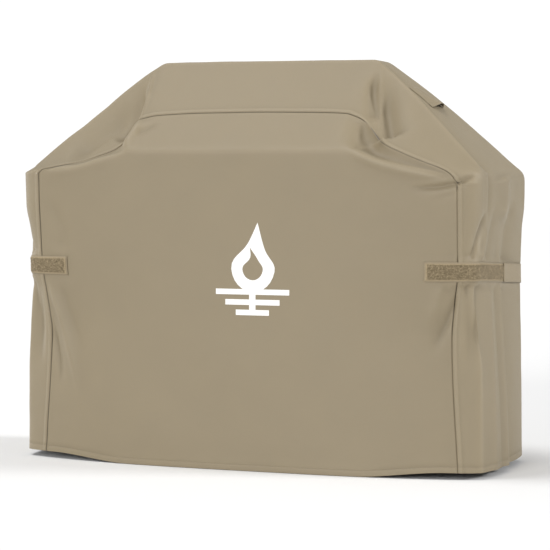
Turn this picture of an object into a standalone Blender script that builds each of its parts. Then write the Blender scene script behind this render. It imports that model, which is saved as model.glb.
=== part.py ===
"""Fitted fabric cover for a gas grill, 1.48 m wide, 0.61 m deep and 1.20 m high.

The cover is cut as three panels. A front and a back panel have an arched top edge, and one long
strip runs up the left side, over the hood and down the right side. Two long seams join them.
A turned hem closes the open bottom, a hooded mesh vent sits on each sloping shoulder, and a
hook and loop strap at each side pulls the skirt in.

The origin is at the middle of the footprint, on the ground. +X is to the right as one faces the
front, -Y is the front and +Z is up. All sizes are in metres.
"""

import math

import bmesh
import bpy
from mathutils import Matrix, Vector

# Overall shape
HEIGHT = 1.204
FRONT_Y = 0.305
HOOD_HALF_LENGTH = 0.347
HOOD_HALF_DEPTH = 0.052
SHOULDER_HEIGHT = 0.868
SIDE_BOW, HEM_BOW = 0.004, 0.020

# The walls, at some heights: height, side x, y of the corner crease, x and y of the long seam
WALL_LEVELS = (
    (0.000, 0.720, 0.205, 0.657, 0.244),
    (0.400, 0.715, 0.212, 0.638, 0.243),
    (0.500, 0.711, 0.210, 0.647, 0.250),
    (0.588, 0.709, 0.207, 0.659, 0.259),
    (0.690, 0.711, 0.208, 0.660, 0.268),
    (0.770, 0.719, 0.210, 0.661, 0.274),
    (SHOULDER_HEIGHT, 0.720, 0.212, 0.661, 0.278),
)

# The arched top edge of a front or back panel, from the middle to the corner:
# x, y and height of the long seam there, and the height of the soft fold below it
ARCH = (
    (0.000, 0.193, 1.047, 0.934),
    (0.150, 0.193, 1.046, 0.934),
    (0.300, 0.197, 1.040, 0.933),
    (0.335, 0.202, 1.031, 0.929),
    (0.365, 0.212, 1.014, 0.915),
    (0.400, 0.240, 0.980, 0.895),
    (0.440, 0.262, 0.946, 0.882),
    (0.500, 0.271, 0.919, 0.872),
    (0.566, 0.277, 0.896, 0.862),
    (0.610, 0.279, 0.882, 0.855),
    (0.645, 0.279, 0.867, 0.846),
    (0.661, 0.278, 0.848, 0.830),
)
ARCH_HOOD_END = 0.335
ARCH_ROUNDING = 0.566
ARCH_SHOULDER = 0.645
ARCH_CORNER = ARCH[-1][0]
CORNER_DEPTH = 0.97

# Cloth
CLOTH = 0.0015
SEAM_GAP = 0.0016
LAYER_GAP = 0.0010
HEM_HEIGHT = 0.020
HEM_CLOTH = 0.0014
HEM_RISE = 0.018
HEM_FLAT_HALF = 0.36
HEM_RISE_END = 0.62
HEM_RISE_HEIGHT = 0.26
TAPE_HALF_WIDTH = 0.011
TAPE_CLOTH = 0.0008
TAPE_GAP = 0.0020
TAPE_FOOT = 0.034

# Straps
STRAP_LOW = 0.560
STRAP_HIGH = 0.617
STRAP_MIDDLE = (STRAP_LOW + STRAP_HIGH) / 2
STRAP_HALF = (STRAP_HIGH - STRAP_LOW) / 2
STRAP_BEND_MARGIN = 0.002
STRAP_CLOTH = 0.0012
LOOP_MARGIN = 0.0035
LOOP_CLOTH = 0.0016
STRAP_STEP = STRAP_CLOTH + LAYER_GAP
STRAP_START_X = 0.566
STRAP_FALL = 0.031
LOOP_START = 0.008
HOOK_START = 0.04
TONGUE_MARGIN = 0.0005
TONGUE_LANDING = 4.25
TONGUE_DROP = 0.5

# Vents
VENT_TOP = 0.130
VENT_BOTTOM = 0.222
VENT_HALF_WIDTH = 0.052
VENT_BULGE = 0.021
VENT_CLOTH = 0.0012
VENT_ACROSS_STEPS = 10
VENT_DOWN_STEPS = 6
WINDOW_TOP = 0.150
WINDOW_BOTTOM = 0.206
WINDOW_HALF_WIDTH = 0.036
WINDOW_CUT = 0.03
MESH_MARGIN = 0.010

# Emblem
EMBLEM_X = 0.052
EMBLEM_LOW = 0.455
EMBLEM_CLOTH = 0.0004
GRATE_BARS = (0.115, 0.085, 0.052)
GRATE_BAR = 0.016
GRATE_GAP = 0.014
GRATE_STEM = 0.010
FLAME_SIZE, FLAME_LEAN, FLAME_DROP = 0.165, 0.10, -0.008
CORE_SIZE, CORE_LEAN, CORE_RAISE = 0.078, -0.10, 0.026

# How the surface is divided. Along a wall, place 0 is the front middle, 1 the front seam,
# 2 the front corner crease, 3 the side's middle, 4 and 5 the rear crease and seam.
WALL_ROWS = (0.0, 0.13, HEM_RISE_HEIGHT, 0.40, 0.49, STRAP_LOW, STRAP_HIGH, 0.70, 0.78)
CORNER_STEPS = 4
SIDE_STEPS = 6
FRONT_SEAM, FRONT_CREASE, SIDE_MIDDLE, REAR_CREASE, REAR_SEAM, REAR_MIDDLE = 1, 2, 3, 4, 5, 6

COLLECTION = "grill_cover"
COLOURS = {
    "cloth": ((0.352, 0.301, 0.223), 0.78),
    "lining": ((0.215, 0.185, 0.140), 0.60),
    "loop": ((0.205, 0.160, 0.100), 0.95),
    "hook": ((0.180, 0.145, 0.095), 0.70),
    "mesh": ((0.060, 0.052, 0.042), 0.80),
    "print": ((0.880, 0.870, 0.840), 0.55),
}


# ---------------------------------------------------------------- surface of the cover


def smooth(t):
    """Eases from 0 to 1."""
    t = min(1.0, max(0.0, t))
    return t * t * (3 - 2 * t)


def wall_section(height):
    """Side x, crease y, seam x and seam y at a height, on a smooth curve through WALL_LEVELS."""
    height = min(max(height, 0.0), SHOULDER_HEIGHT)
    last = len(WALL_LEVELS) - 1
    low = max(i for i in range(last) if WALL_LEVELS[i][0] <= height)
    a, b = WALL_LEVELS[low], WALL_LEVELS[low + 1]
    before, after = WALL_LEVELS[max(low - 1, 0)], WALL_LEVELS[min(low + 2, last)]
    span = b[0] - a[0]
    t = (height - a[0]) / span
    values = []
    for k in range(1, len(a)):
        slope_a = (b[k] - before[k]) / (b[0] - before[0]) * span
        slope_b = (after[k] - a[k]) / (after[0] - a[0]) * span
        values.append(
            (2 * t**3 - 3 * t**2 + 1) * a[k]
            + (t**3 - 2 * t**2 + t) * slope_a
            + (3 * t**2 - 2 * t**3) * b[k]
            + (t**3 - t**2) * slope_b
        )
    return values


def bezier(a, b, c, t):
    return a * (1 - t) ** 2 + b * 2 * t * (1 - t) + c * t**2


def hem_lift(x, height):
    """The hem lies flat in the middle and rises a little towards the corners."""
    rise = HEM_RISE * smooth((abs(x) - HEM_FLAT_HALF) / (HEM_RISE_END - HEM_FLAT_HALF))
    return rise * max(0.0, 1 - height / HEM_RISE_HEIGHT)


def quarter_point(place, height):
    """A wall point in the front right quarter, for a place from 0 to SIDE_MIDDLE."""
    side_x, crease_y, seam_x, seam_y = wall_section(height)
    belly = FRONT_Y - seam_y
    if place <= FRONT_SEAM:
        x, y = place * seam_x, belly * place**3 - FRONT_Y
    elif place <= FRONT_CREASE:
        seam, crease = Vector((seam_x, -seam_y)), Vector((side_x, -crease_y))
        corner = Vector((side_x, 3 * belly / seam_x * (side_x - seam_x) - seam_y))
        x, y = bezier(seam, corner, crease, place - FRONT_SEAM)
    else:
        inward = SIDE_MIDDLE - place
        x, y = side_x + side_bow(height) * (1 - inward**2), -crease_y * inward
    return Vector((x, y, height + hem_lift(x, height)))


def side_bow(height):
    """How far the middle of a side wall stands out past its corner creases."""
    return SIDE_BOW + (HEM_BOW - SIDE_BOW) * smooth(1 - height / STRAP_LOW)


def wall_point(place, height, side=1):
    """A point on the outside of the wall. side is 1 for the right half and -1 for the left."""
    behind = place > SIDE_MIDDLE
    p = quarter_point(REAR_MIDDLE - place if behind else place, height)
    return Vector((side * p.x, -p.y if behind else p.y, p.z))


def wall_normal(place, height, side=1):
    """The level outward direction of the wall."""
    step = 0.02
    along = wall_point(place + step, height) - wall_point(place - step, height)
    return Vector((side * along.y, -along.x, 0)).normalized()


def arch_point(i):
    """Point i of the arched seam, in the front right quarter."""
    x, y, z, _ = ARCH[i]
    return Vector((x, -y, z))


def crest_point(i):
    """Where the strip's row from arch point i meets the front crease or the hood's top edge."""
    x = ARCH[i][0]
    hood_corner = Vector((HOOD_HALF_LENGTH, -HOOD_HALF_DEPTH, HEIGHT))
    if x <= ARCH_HOOD_END:
        return Vector((x * HOOD_HALF_LENGTH / ARCH_HOOD_END, hood_corner.y, HEIGHT))
    if x > ARCH_SHOULDER:
        return wall_point(FRONT_CREASE, ARCH[i][2])
    shoulder = wall_point(FRONT_CREASE, SHOULDER_HEIGHT)
    share = (ARCH_SHOULDER - x) / (ARCH_SHOULDER - ARCH_HOOD_END)
    return shoulder.lerp(hood_corner, share)


def strip_row(first, crest, roundness, bow):
    """One row of the strip, from the front seam over the side or hood to the rear seam."""
    corner = Vector((crest.x, first.y * CORNER_DEPTH, (first.z + crest.z) / 2))
    middle = first.lerp(crest, 0.5).lerp(corner, roundness)
    front = [bezier(first, middle, crest, k / CORNER_STEPS) for k in range(CORNER_STEPS + 1)]
    across = []
    for k in range(1, SIDE_STEPS):
        share = 2 * k / SIDE_STEPS - 1
        across.append(Vector((crest.x + bow * (1 - share**2), -crest.y * share, crest.z)))
    rear = [Vector((p.x, -p.y, p.z)) for p in reversed(front)]
    return front + across + rear


def wall_row(height):
    """One row of the strip on a side wall."""
    corner = [FRONT_SEAM + k / CORNER_STEPS for k in range(CORNER_STEPS + 1)]
    places = corner + [FRONT_CREASE + 2 * k / SIDE_STEPS for k in range(1, SIDE_STEPS)]
    places += [REAR_MIDDLE - p for p in reversed(corner)]
    return [wall_point(p, height) for p in places]


def strip_rows():
    """The whole strip, from the right hem over the hood to the left hem."""
    rows = [wall_row(height) for height in WALL_ROWS]
    for i in reversed(range(len(ARCH))):
        roundness = smooth((ARCH[i][0] - ARCH_ROUNDING) / (ARCH_CORNER - ARCH_ROUNDING))
        rows.append(strip_row(arch_point(i), crest_point(i), roundness, SIDE_BOW * roundness))
    for row in rows:
        row[0] = row[0].lerp(row[1], SEAM_GAP / (row[1] - row[0]).length)
        row[-1] = row[-1].lerp(row[-2], SEAM_GAP / (row[-2] - row[-1]).length)
    left = [[Vector((-p.x, p.y, p.z)) for p in row] for row in reversed(rows[:-1])]
    return rows + left


def panel_column(i):
    """One column of the front panel's right half, from the hem up to the arched seam."""
    share = ARCH[i][0] / ARCH_CORNER
    column = [wall_point(share, height) for height in WALL_ROWS]
    fold = wall_point(share, min(ARCH[i][3], SHOULDER_HEIGHT))
    fold.z = ARCH[i][3]
    return column + [fold, arch_point(i)]


def panel_columns():
    """The front panel, from the right seam to the left one. Its edges stop short of the seam."""
    right = [panel_column(i) for i in range(len(ARCH))]
    for column in right:
        column[-1] = column[-1].lerp(column[-2], SEAM_GAP / (column[-2] - column[-1]).length)
    for k, p in enumerate(right[-1]):
        right[-1][k] = p.lerp(right[-2][k], SEAM_GAP / (right[-2][k] - p).length)
    left = [[Vector((-p.x, p.y, p.z)) for p in column] for column in right[1:]]
    return list(reversed(right)) + left


def shoulder_frame(side):
    """The sloping shoulder: the middle of its top edge, its way down and its outward normal."""
    top = Vector((side * HOOD_HALF_LENGTH, 0, HEIGHT))
    low = wall_section(SHOULDER_HEIGHT)[0]
    down = (Vector((side * low, 0, SHOULDER_HEIGHT)) - top).normalized()
    normal = Vector((-side * down.z, 0, side * down.x))
    return top, down, normal


def shoulder_point(side, along, across, lift):
    top, down, normal = shoulder_frame(side)
    return top + down * along + normal * lift + Vector((0, across, 0))


# ---------------------------------------------------------------- making objects


def clear_scene():
    for thing in list(bpy.data.objects):
        bpy.data.objects.remove(thing)


def make_collection(name):
    collection = bpy.data.collections.new(name)
    bpy.context.scene.collection.children.link(collection)
    return collection


def make_material(name, kind):
    colour, roughness = COLOURS[kind]
    material = bpy.data.materials.new(name)
    material.use_nodes = True
    shader = material.node_tree.nodes["Principled BSDF"]
    shader.inputs["Base Color"].default_value = (*colour, 1)
    shader.inputs["Roughness"].default_value = roughness
    shader.inputs["Metallic"].default_value = 0
    return material


def add_object(name, data, kind):
    thing = bpy.data.objects.new(name, data)
    data.materials.append(make_material(name, kind))
    bpy.data.collections[COLLECTION].objects.link(thing)
    return thing


def grid_mesh(name, rows, closed=False):
    """An open surface through rows of points, with its normals away from the cover's middle."""
    bm = bmesh.new()
    verts = [[bm.verts.new(p) for p in row] for row in rows]
    width = len(rows[0])
    for low, high in zip(verts, verts[1:]):
        for k in range(width if closed else width - 1):
            after = (k + 1) % width
            bm.faces.new((low[k], low[after], high[after], high[k]))
    bm.normal_update()
    middle = Vector((0, 0, HEIGHT / 2))
    if sum(f.normal.dot(f.calc_center_median() - middle) * f.calc_area() for f in bm.faces) < 0:
        bmesh.ops.reverse_faces(bm, faces=bm.faces)
        bm.normal_update()
    mesh = bpy.data.meshes.new(name)
    bm.to_mesh(mesh)
    bm.free()
    return mesh


def shift_along_normals(mesh, distance):
    bm = bmesh.new()
    bm.from_mesh(mesh)
    bm.normal_update()
    for v, normal in [(v, v.normal.copy()) for v in bm.verts]:
        v.co += normal * distance
    bm.to_mesh(mesh)
    bm.free()


def solidify(thing, thickness, offset):
    """offset -1 grows inwards from the surface and 1 outwards."""
    shell = thing.modifiers.new("cloth", "SOLIDIFY")
    shell.thickness = thickness
    shell.offset = offset
    shell.use_even_offset = False


def make_sheet(name, rows, kind, thickness, offset=-1, lift=0.0, closed=False):
    mesh = grid_mesh(name, rows, closed)
    if lift:
        shift_along_normals(mesh, lift)
    for polygon in mesh.polygons:
        polygon.use_smooth = True
    mesh.set_sharp_from_angle(angle=math.radians(35))
    thing = add_object(name, mesh, kind)
    solidify(thing, thickness, offset)
    return thing


# ---------------------------------------------------------------- panels, hem and seam tapes


def make_panels():
    front = panel_columns()
    make_sheet("front_panel", front, "cloth", CLOTH)
    back = [[Vector((p.x, -p.y, p.z)) for p in column] for column in front]
    make_sheet("back_panel", back, "cloth", CLOTH)


def make_strip():
    strip = make_sheet("top_side_panel", strip_rows(), "cloth", CLOTH)
    for side, word in ((1, "right"), (-1, "left")):
        cut = strip.modifiers.new(word + "_window", "BOOLEAN")
        cut.operation = "DIFFERENCE"
        cut.object = make_window_cutter(side, word)


def make_window_cutter(side, word):
    """A block through the shoulder where the mesh window is."""
    length = WINDOW_BOTTOM - WINDOW_TOP
    bm = bmesh.new()
    bmesh.ops.create_cube(bm, size=1)
    bmesh.ops.scale(bm, vec=(length, 2 * WINDOW_HALF_WIDTH, WINDOW_CUT), verts=bm.verts)
    mesh = bpy.data.meshes.new(word + "_window_cutter")
    bm.to_mesh(mesh)
    bm.free()
    cutter = bpy.data.objects.new(mesh.name, mesh)
    _, down, normal = shoulder_frame(side)
    axes = Matrix((down, normal.cross(down), normal)).transposed().to_4x4()
    middle = shoulder_point(side, WINDOW_TOP + length / 2, 0, 0)
    cutter.matrix_world = Matrix.Translation(middle) @ axes
    cutter.hide_render = True
    cutter.display_type = "WIRE"
    bpy.data.collections["cutters"].objects.link(cutter)
    return cutter


def around_bottom(height):
    """A level line once round the walls, through the same places as the panels' points."""
    shares = [row[0] / ARCH_CORNER for row in ARCH]
    corner = [FRONT_SEAM + k / CORNER_STEPS for k in range(1, CORNER_STEPS + 1)]
    side = [FRONT_CREASE + 2 * k / SIDE_STEPS for k in range(1, SIDE_STEPS)]
    front_half = shares + corner + side[: SIDE_STEPS // 2]
    places = front_half + [REAR_MIDDLE - p for p in reversed(front_half[:-1])]
    share = height / WALL_ROWS[1]
    right = [wall_point(p, 0).lerp(wall_point(p, WALL_ROWS[1]), share) for p in places]
    return right + [Vector((-p.x, p.y, p.z)) for p in reversed(right[1:-1])]


def make_hem():
    rows = [around_bottom(0), around_bottom(HEM_HEIGHT)]
    lift = -(CLOTH + LAYER_GAP)
    make_sheet("bottom_hem", rows, "cloth", HEM_CLOTH, lift=lift, closed=True)


def seam_sections(way):
    """Cross sections of one long seam's tape: a point on the panel, the seam, one on the strip."""
    foot_share = TAPE_FOOT / WALL_ROWS[1]
    next_in = ARCH[-2][0] / ARCH_CORNER
    first_out = FRONT_SEAM + 1 / CORNER_STEPS
    walls = []
    for place in (next_in, FRONT_SEAM, first_out):
        line = [wall_point(place, height) for height in WALL_ROWS]
        line[0] = line[0].lerp(line[1], foot_share)
        walls.append(line)
    sections = [list(points) for points in zip(*walls)]
    for i in reversed(range(len(ARCH))):
        column, crest = panel_column(i), crest_point(i)
        inside = column[-2] if i < len(ARCH) - 1 else panel_column(i - 1)[-2]
        sections.append([inside, column[-1], crest])
    right = []
    for inside, seam, outside in sections:
        to_panel = (inside - seam).normalized() * TAPE_HALF_WIDTH
        to_strip = (outside - seam).normalized() * TAPE_HALF_WIDTH
        right.append([seam + to_panel, seam, seam + to_strip])
    left = [[Vector((-p.x, p.y, p.z)) for p in row] for row in reversed(right[:-1])]
    return [[Vector((p.x, -way * p.y, p.z)) for p in row] for row in right + left]


def make_seam_tapes():
    for way, word in ((-1, "front"), (1, "back")):
        lift = -(CLOTH + TAPE_GAP)
        make_sheet(word + "_seam_tape", seam_sections(way), "lining", TAPE_CLOTH, lift=lift)


# ---------------------------------------------------------------- straps


def wall_sheet_point(place, height, side):
    """A point on the wall as it is built, which is flat between its rows."""
    above = next(k for k, row in enumerate(WALL_ROWS) if row >= height)
    low, high = WALL_ROWS[above - 1], WALL_ROWS[above]
    share = (height - low) / (high - low)
    return wall_point(place, low, side).lerp(wall_point(place, high, side), share)


def strap_fall(place):
    """How far the strap has dropped on its way from the front crease to the rear seam."""
    return STRAP_FALL * max(0, (place - FRONT_CREASE) / (REAR_SEAM - FRONT_CREASE))


def strap_rows(places, lifts, margin, side):
    """Three lines of points along the strap, each point by its own lift off the wall.
    The middle line is where the wall below bends, between two of its rows."""
    rows = [[], [], []]
    for place, lift in zip(places, lifts):
        fall = strap_fall(place)
        normal = wall_normal(place, STRAP_MIDDLE - fall, side)
        low, high = STRAP_LOW - fall + margin, STRAP_HIGH - fall - margin
        bend = max(STRAP_LOW, low + STRAP_BEND_MARGIN)
        for row, height in zip(rows, (low, bend, high)):
            row.append(wall_sheet_point(place, height, side) + normal * lift)
    return rows


def strap_places(start, end):
    """Places from start to end, through every one of the panels' own points between them."""
    fixed = [row[0] / ARCH_CORNER for row in ARCH]
    fixed += [FRONT_SEAM + k / CORNER_STEPS for k in range(1, CORNER_STEPS + 1)]
    fixed += [FRONT_CREASE + 2 * k / SIDE_STEPS for k in range(1, SIDE_STEPS + 1)]
    fixed += [REAR_CREASE + k / CORNER_STEPS for k in range(1, CORNER_STEPS + 1)]
    return [start] + [p for p in fixed if start + 0.02 < p < end - 0.02] + [end]


def tongue_lift(place):
    """The tongue lies on the loop tape at its free end and on the wall at its sewn end."""
    over_tape = LAYER_GAP + 3 * STRAP_STEP + LOOP_CLOTH
    return LAYER_GAP + (over_tape - LAYER_GAP) * smooth((TONGUE_LANDING - place) / TONGUE_DROP)


def strap_pivot(side):
    """The middle of the tongue's sewn edge, at half the tongue's thickness."""
    middle = STRAP_MIDDLE - strap_fall(REAR_SEAM)
    ends = [wall_sheet_point(REAR_SEAM, z, side) for z in (middle - STRAP_HALF, middle + STRAP_HALF)]
    outwards = wall_normal(REAR_SEAM, middle, side)
    return ends[0].lerp(ends[1], 0.5) + outwards * (LAYER_GAP + STRAP_CLOTH / 2)


def hang_on_pivot(things, side, word):
    """Parents the moving pieces to an empty on the hinge line."""
    pivot = bpy.data.objects.new(word + "_strap_pivot", None)
    pivot.location = strap_pivot(side)
    bpy.data.collections[COLLECTION].objects.link(pivot)
    for thing in things:
        thing.data.transform(Matrix.Translation(-strap_pivot(side)))
        thing.parent = pivot


def make_strap(side, word):
    """The layers of one strap, from the wall outwards, and the tongue that closes over them."""
    start = STRAP_START_X / ARCH_CORNER
    loop_start, hook_start = start + LOOP_START, SIDE_MIDDLE + HOOK_START
    band_end, loop_end = SIDE_MIDDLE + 2 / 3, SIDE_MIDDLE + 1 / 3
    layers = (
        ("_strap_band", "cloth", STRAP_CLOTH, start, band_end, 0),
        ("_loop_tape", "loop", LOOP_CLOTH, loop_start, loop_end, LOOP_MARGIN),
        ("_hook_tape", "hook", STRAP_CLOTH, hook_start, loop_end, LOOP_MARGIN),
    )
    made = {}
    lift = 0.0
    for name, kind, thickness, start, end, margin in layers:
        lift += LAYER_GAP
        places = strap_places(start, end)
        rows = strap_rows(places, [lift] * len(places), margin, side)
        made[name] = make_sheet(word + name, rows, kind, thickness, offset=1)
        lift += thickness
    places = strap_places(SIDE_MIDDLE, REAR_SEAM)
    rows = strap_rows(places, [tongue_lift(p) for p in places], TONGUE_MARGIN, side)
    tongue = make_sheet(word + "_strap_tongue", rows, "cloth", STRAP_CLOTH, offset=1)
    hang_on_pivot([tongue, made["_hook_tape"]], side, word)


# ---------------------------------------------------------------- vents


def make_vent_hood(side, word):
    """A hood sewn down at its top and sides, whose open lower edge stands off the shoulder."""
    rows = []
    for k in range(VENT_DOWN_STEPS + 1):
        down = k / VENT_DOWN_STEPS
        along = VENT_TOP + (VENT_BOTTOM - VENT_TOP) * down
        row = []
        for n in range(VENT_ACROSS_STEPS + 1):
            across = 2 * n / VENT_ACROSS_STEPS - 1
            lift = LAYER_GAP + VENT_BULGE * math.cos(across * math.pi / 2) ** 1.5 * down**1.4
            row.append(shoulder_point(side, along, across * VENT_HALF_WIDTH, lift))
        rows.append(row)
    make_sheet(word + "_vent_hood", rows, "cloth", VENT_CLOTH, offset=1)


def make_vent_mesh(side, word):
    """The screen behind the window, on the inside of the strip."""
    lift = -(CLOTH + LAYER_GAP)
    half = WINDOW_HALF_WIDTH + MESH_MARGIN
    rows = []
    for along in (WINDOW_TOP - MESH_MARGIN, WINDOW_BOTTOM + MESH_MARGIN):
        rows.append([shoulder_point(side, along, across, lift) for across in (-half, half)])
    make_sheet(word + "_vent_mesh", rows, "mesh", TAPE_CLOTH)


# ---------------------------------------------------------------- emblem


def flame_points(size, lean):
    """A flame as curve points: foot, bulging sides and a leaning tip. (x, z, handle style)"""
    return (
        (0.000, 0.000, "AUTO"),
        (0.42 * size, 0.36 * size, "AUTO"),
        (0.24 * size, 0.74 * size, "AUTO"),
        (lean * size, 1.22 * size, "VECTOR"),
        (-0.08 * size, 0.86 * size, "AUTO"),
        (-0.40 * size, 0.40 * size, "AUTO"),
    )


def add_outline(curve, points, cyclic=True):
    spline = curve.splines.new("BEZIER")
    spline.bezier_points.add(len(points) - 1)
    for bezier_point, (x, z, style) in zip(spline.bezier_points, points):
        bezier_point.co = (x, z, 0)
        bezier_point.handle_left_type = style
        bezier_point.handle_right_type = style
    spline.use_cyclic_u = cyclic
    spline.resolution_u = 6


def grate_points(widths, bar, gap, stem):
    """Bars one under another on a short stem, as one outline from the top bar down and back."""
    right = []
    z = 0.0
    for k, width in enumerate(widths):
        if k:
            right += [(stem, z), (stem, z - gap)]
            z -= gap
        right += [(width, z), (width, z - bar)]
        z -= bar
    left = [(-x, z) for x, z in reversed(right)]
    return [(x, z, "VECTOR") for x, z in right + left]


def flat_curve(name, thickness, outlines):
    """A filled flat curve with the given outlines; one outline inside another is a hole."""
    curve = bpy.data.curves.new(name, "CURVE")
    curve.dimensions = "2D"
    curve.fill_mode = "BOTH"
    curve.extrude = thickness / 2
    for points in outlines:
        add_outline(curve, points)
    return curve


def raised(points, distance):
    return [(x, z + distance, style) for x, z, style in points]


def make_emblem():
    """A generic flame over three grate bars, as one thin printed film on the front panel."""
    height = len(GRATE_BARS) * GRATE_BAR + (len(GRATE_BARS) - 1) * GRATE_GAP
    place = Vector((EMBLEM_X, -FRONT_Y - LAYER_GAP - EMBLEM_CLOTH / 2, EMBLEM_LOW + height))
    upright = Matrix.Translation(place) @ Matrix.Rotation(math.radians(90), 4, "X")
    grate = grate_points(GRATE_BARS, GRATE_BAR, GRATE_GAP, GRATE_STEM)
    flame = raised(flame_points(FLAME_SIZE, FLAME_LEAN), FLAME_DROP)
    core = raised(flame_points(CORE_SIZE, CORE_LEAN), CORE_RAISE)
    bars = flat_curve("front_emblem", EMBLEM_CLOTH, [grate])
    fire = flat_curve("flame", EMBLEM_CLOTH * 0.8, [flame, core])
    emblem = add_object("front_emblem", mesh_of_curve(bars, upright), "print")
    burning = bpy.data.objects.new("flame_guide", mesh_of_curve(fire, upright))
    burning.hide_render = True
    burning.display_type = "WIRE"
    bpy.data.collections["cutters"].objects.link(burning)
    join = emblem.modifiers.new("flame", "BOOLEAN")
    join.operation = "UNION"
    join.solver = "MANIFOLD"
    join.object = burning


def mesh_of_curve(curve, place):
    """The filled curve as a closed mesh in its place."""
    guide = bpy.data.objects.new(curve.name + "_curve", curve)
    bpy.context.scene.collection.objects.link(guide)
    bpy.context.view_layer.update()
    depsgraph = bpy.context.evaluated_depsgraph_get()
    mesh = bpy.data.meshes.new_from_object(guide.evaluated_get(depsgraph))
    bpy.data.objects.remove(guide)
    bm = bmesh.new()
    bm.from_mesh(mesh)
    bmesh.ops.remove_doubles(bm, verts=bm.verts, dist=0.00002)
    bmesh.ops.recalc_face_normals(bm, faces=bm.faces)
    bm.to_mesh(mesh)
    bm.free()
    mesh.transform(place)
    mesh.materials.clear()
    return mesh


def main():
    clear_scene()
    make_collection(COLLECTION)
    make_collection("cutters")
    make_panels()
    make_strip()
    make_hem()
    make_seam_tapes()
    for side, word in ((1, "right"), (-1, "left")):
        make_strap(side, word)
        make_vent_hood(side, word)
        make_vent_mesh(side, word)
    make_emblem()


main()
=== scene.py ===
"""Looks of a fitted cloth grill cover: fine cloth with its folds, seams, straps and vents.

Everything is in metres in the frame of the CAD model: the origin is at the middle of the
footprint on the ground, +X is to the right as one faces the front, -Y is the front, +Z is up.
"""

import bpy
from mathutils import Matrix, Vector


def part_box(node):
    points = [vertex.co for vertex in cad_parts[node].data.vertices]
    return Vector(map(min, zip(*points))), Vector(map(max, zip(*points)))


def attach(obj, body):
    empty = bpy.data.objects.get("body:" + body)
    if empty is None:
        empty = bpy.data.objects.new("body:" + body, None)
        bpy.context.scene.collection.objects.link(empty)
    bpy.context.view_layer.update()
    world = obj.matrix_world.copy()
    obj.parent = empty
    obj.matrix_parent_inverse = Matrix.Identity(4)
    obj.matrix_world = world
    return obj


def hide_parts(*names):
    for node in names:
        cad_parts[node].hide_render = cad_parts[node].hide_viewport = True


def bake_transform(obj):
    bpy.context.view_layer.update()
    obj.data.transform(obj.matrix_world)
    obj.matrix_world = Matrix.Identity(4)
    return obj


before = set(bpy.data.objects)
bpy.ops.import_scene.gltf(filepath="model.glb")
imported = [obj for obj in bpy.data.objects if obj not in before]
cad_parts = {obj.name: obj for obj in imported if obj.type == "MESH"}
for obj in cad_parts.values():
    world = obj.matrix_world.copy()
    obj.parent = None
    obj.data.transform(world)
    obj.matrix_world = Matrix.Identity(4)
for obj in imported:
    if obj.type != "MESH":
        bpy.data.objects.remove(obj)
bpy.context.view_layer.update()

import math
from collections import namedtuple

import bmesh
import bpy
import numpy as np
from mathutils import Vector, noise

# ---------------------------------------------------------------- sizes shared with the CAD model

HEIGHT = 1.204
FRONT_Y = 0.305
HOOD_HALF_LENGTH = 0.347
HOOD_HALF_DEPTH = 0.052
SHOULDER_HEIGHT = 0.868
SIDE_BOW, HEM_BOW = 0.004, 0.020
ARCH_HOOD_END = 0.335
ARCH_ROUNDING = 0.566
ARCH_SHOULDER = 0.645
ARCH_CORNER = 0.661
CORNER_DEPTH = 0.97
HEM_HEIGHT = 0.020
HEM_RISE = 0.018
HEM_FLAT_HALF = 0.36
HEM_RISE_END = 0.62
HEM_RISE_HEIGHT = 0.26
STRAP_LOW = 0.560
STRAP_HIGH = 0.617
STRAP_START_X = 0.566
STRAP_FALL = 0.031
VENT_TOP = 0.130
VENT_BOTTOM = 0.222
VENT_HALF_WIDTH = 0.052
VENT_BULGE = 0.018
WINDOW_TOP = 0.150
WINDOW_BOTTOM = 0.206
WINDOW_HALF_WIDTH = 0.036
MESH_MARGIN = 0.010
FRONT_SEAM, FRONT_CREASE, SIDE_MIDDLE, REAR_SEAM, REAR_MIDDLE = 1, 2, 3, 5, 6
SIDES = ((1, "right"), (-1, "left"))
UPWARDS = np.array([0.0, 0.0, 1.0])
REARWARDS = np.array([0.0, 1.0, 0.0])
MIRROR = np.array([1, -1, 1])

# The walls, at some heights: height, side x, y of the corner crease, x and y of the long seam
WALL_LEVELS = (
    (0.000, 0.720, 0.205, 0.657, 0.244),
    (0.400, 0.715, 0.212, 0.638, 0.243),
    (0.500, 0.711, 0.210, 0.647, 0.250),
    (0.588, 0.709, 0.207, 0.659, 0.259),
    (0.690, 0.711, 0.208, 0.660, 0.268),
    (0.770, 0.719, 0.210, 0.661, 0.274),
    (SHOULDER_HEIGHT, 0.720, 0.212, 0.661, 0.278),
)

# How much fuller the cloth hangs than the plain shape: height and how far out the left wall
# stands, then for each side share of the way down the shoulder and how far off the shoulder
LEFT_FULLNESS = (
    (0.000, 0.016),
    (0.200, 0.016),
    (0.400, 0.014),
    (0.500, 0.012),
    (0.588, 0.006),
    (0.690, 0.011),
    (SHOULDER_HEIGHT, 0.012),
)
SHOULDER_FULLNESS = {
    1: ((0.0, 0.000), (0.1, 0.003), (0.35, 0.008), (0.7, 0.005), (1.0, -0.001)),
    -1: ((0.0, -0.001), (0.1, 0.003), (0.35, 0.005), (0.7, 0.004), (1.0, -0.001)),
}
HOOD_TILT = 0.0022

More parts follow.
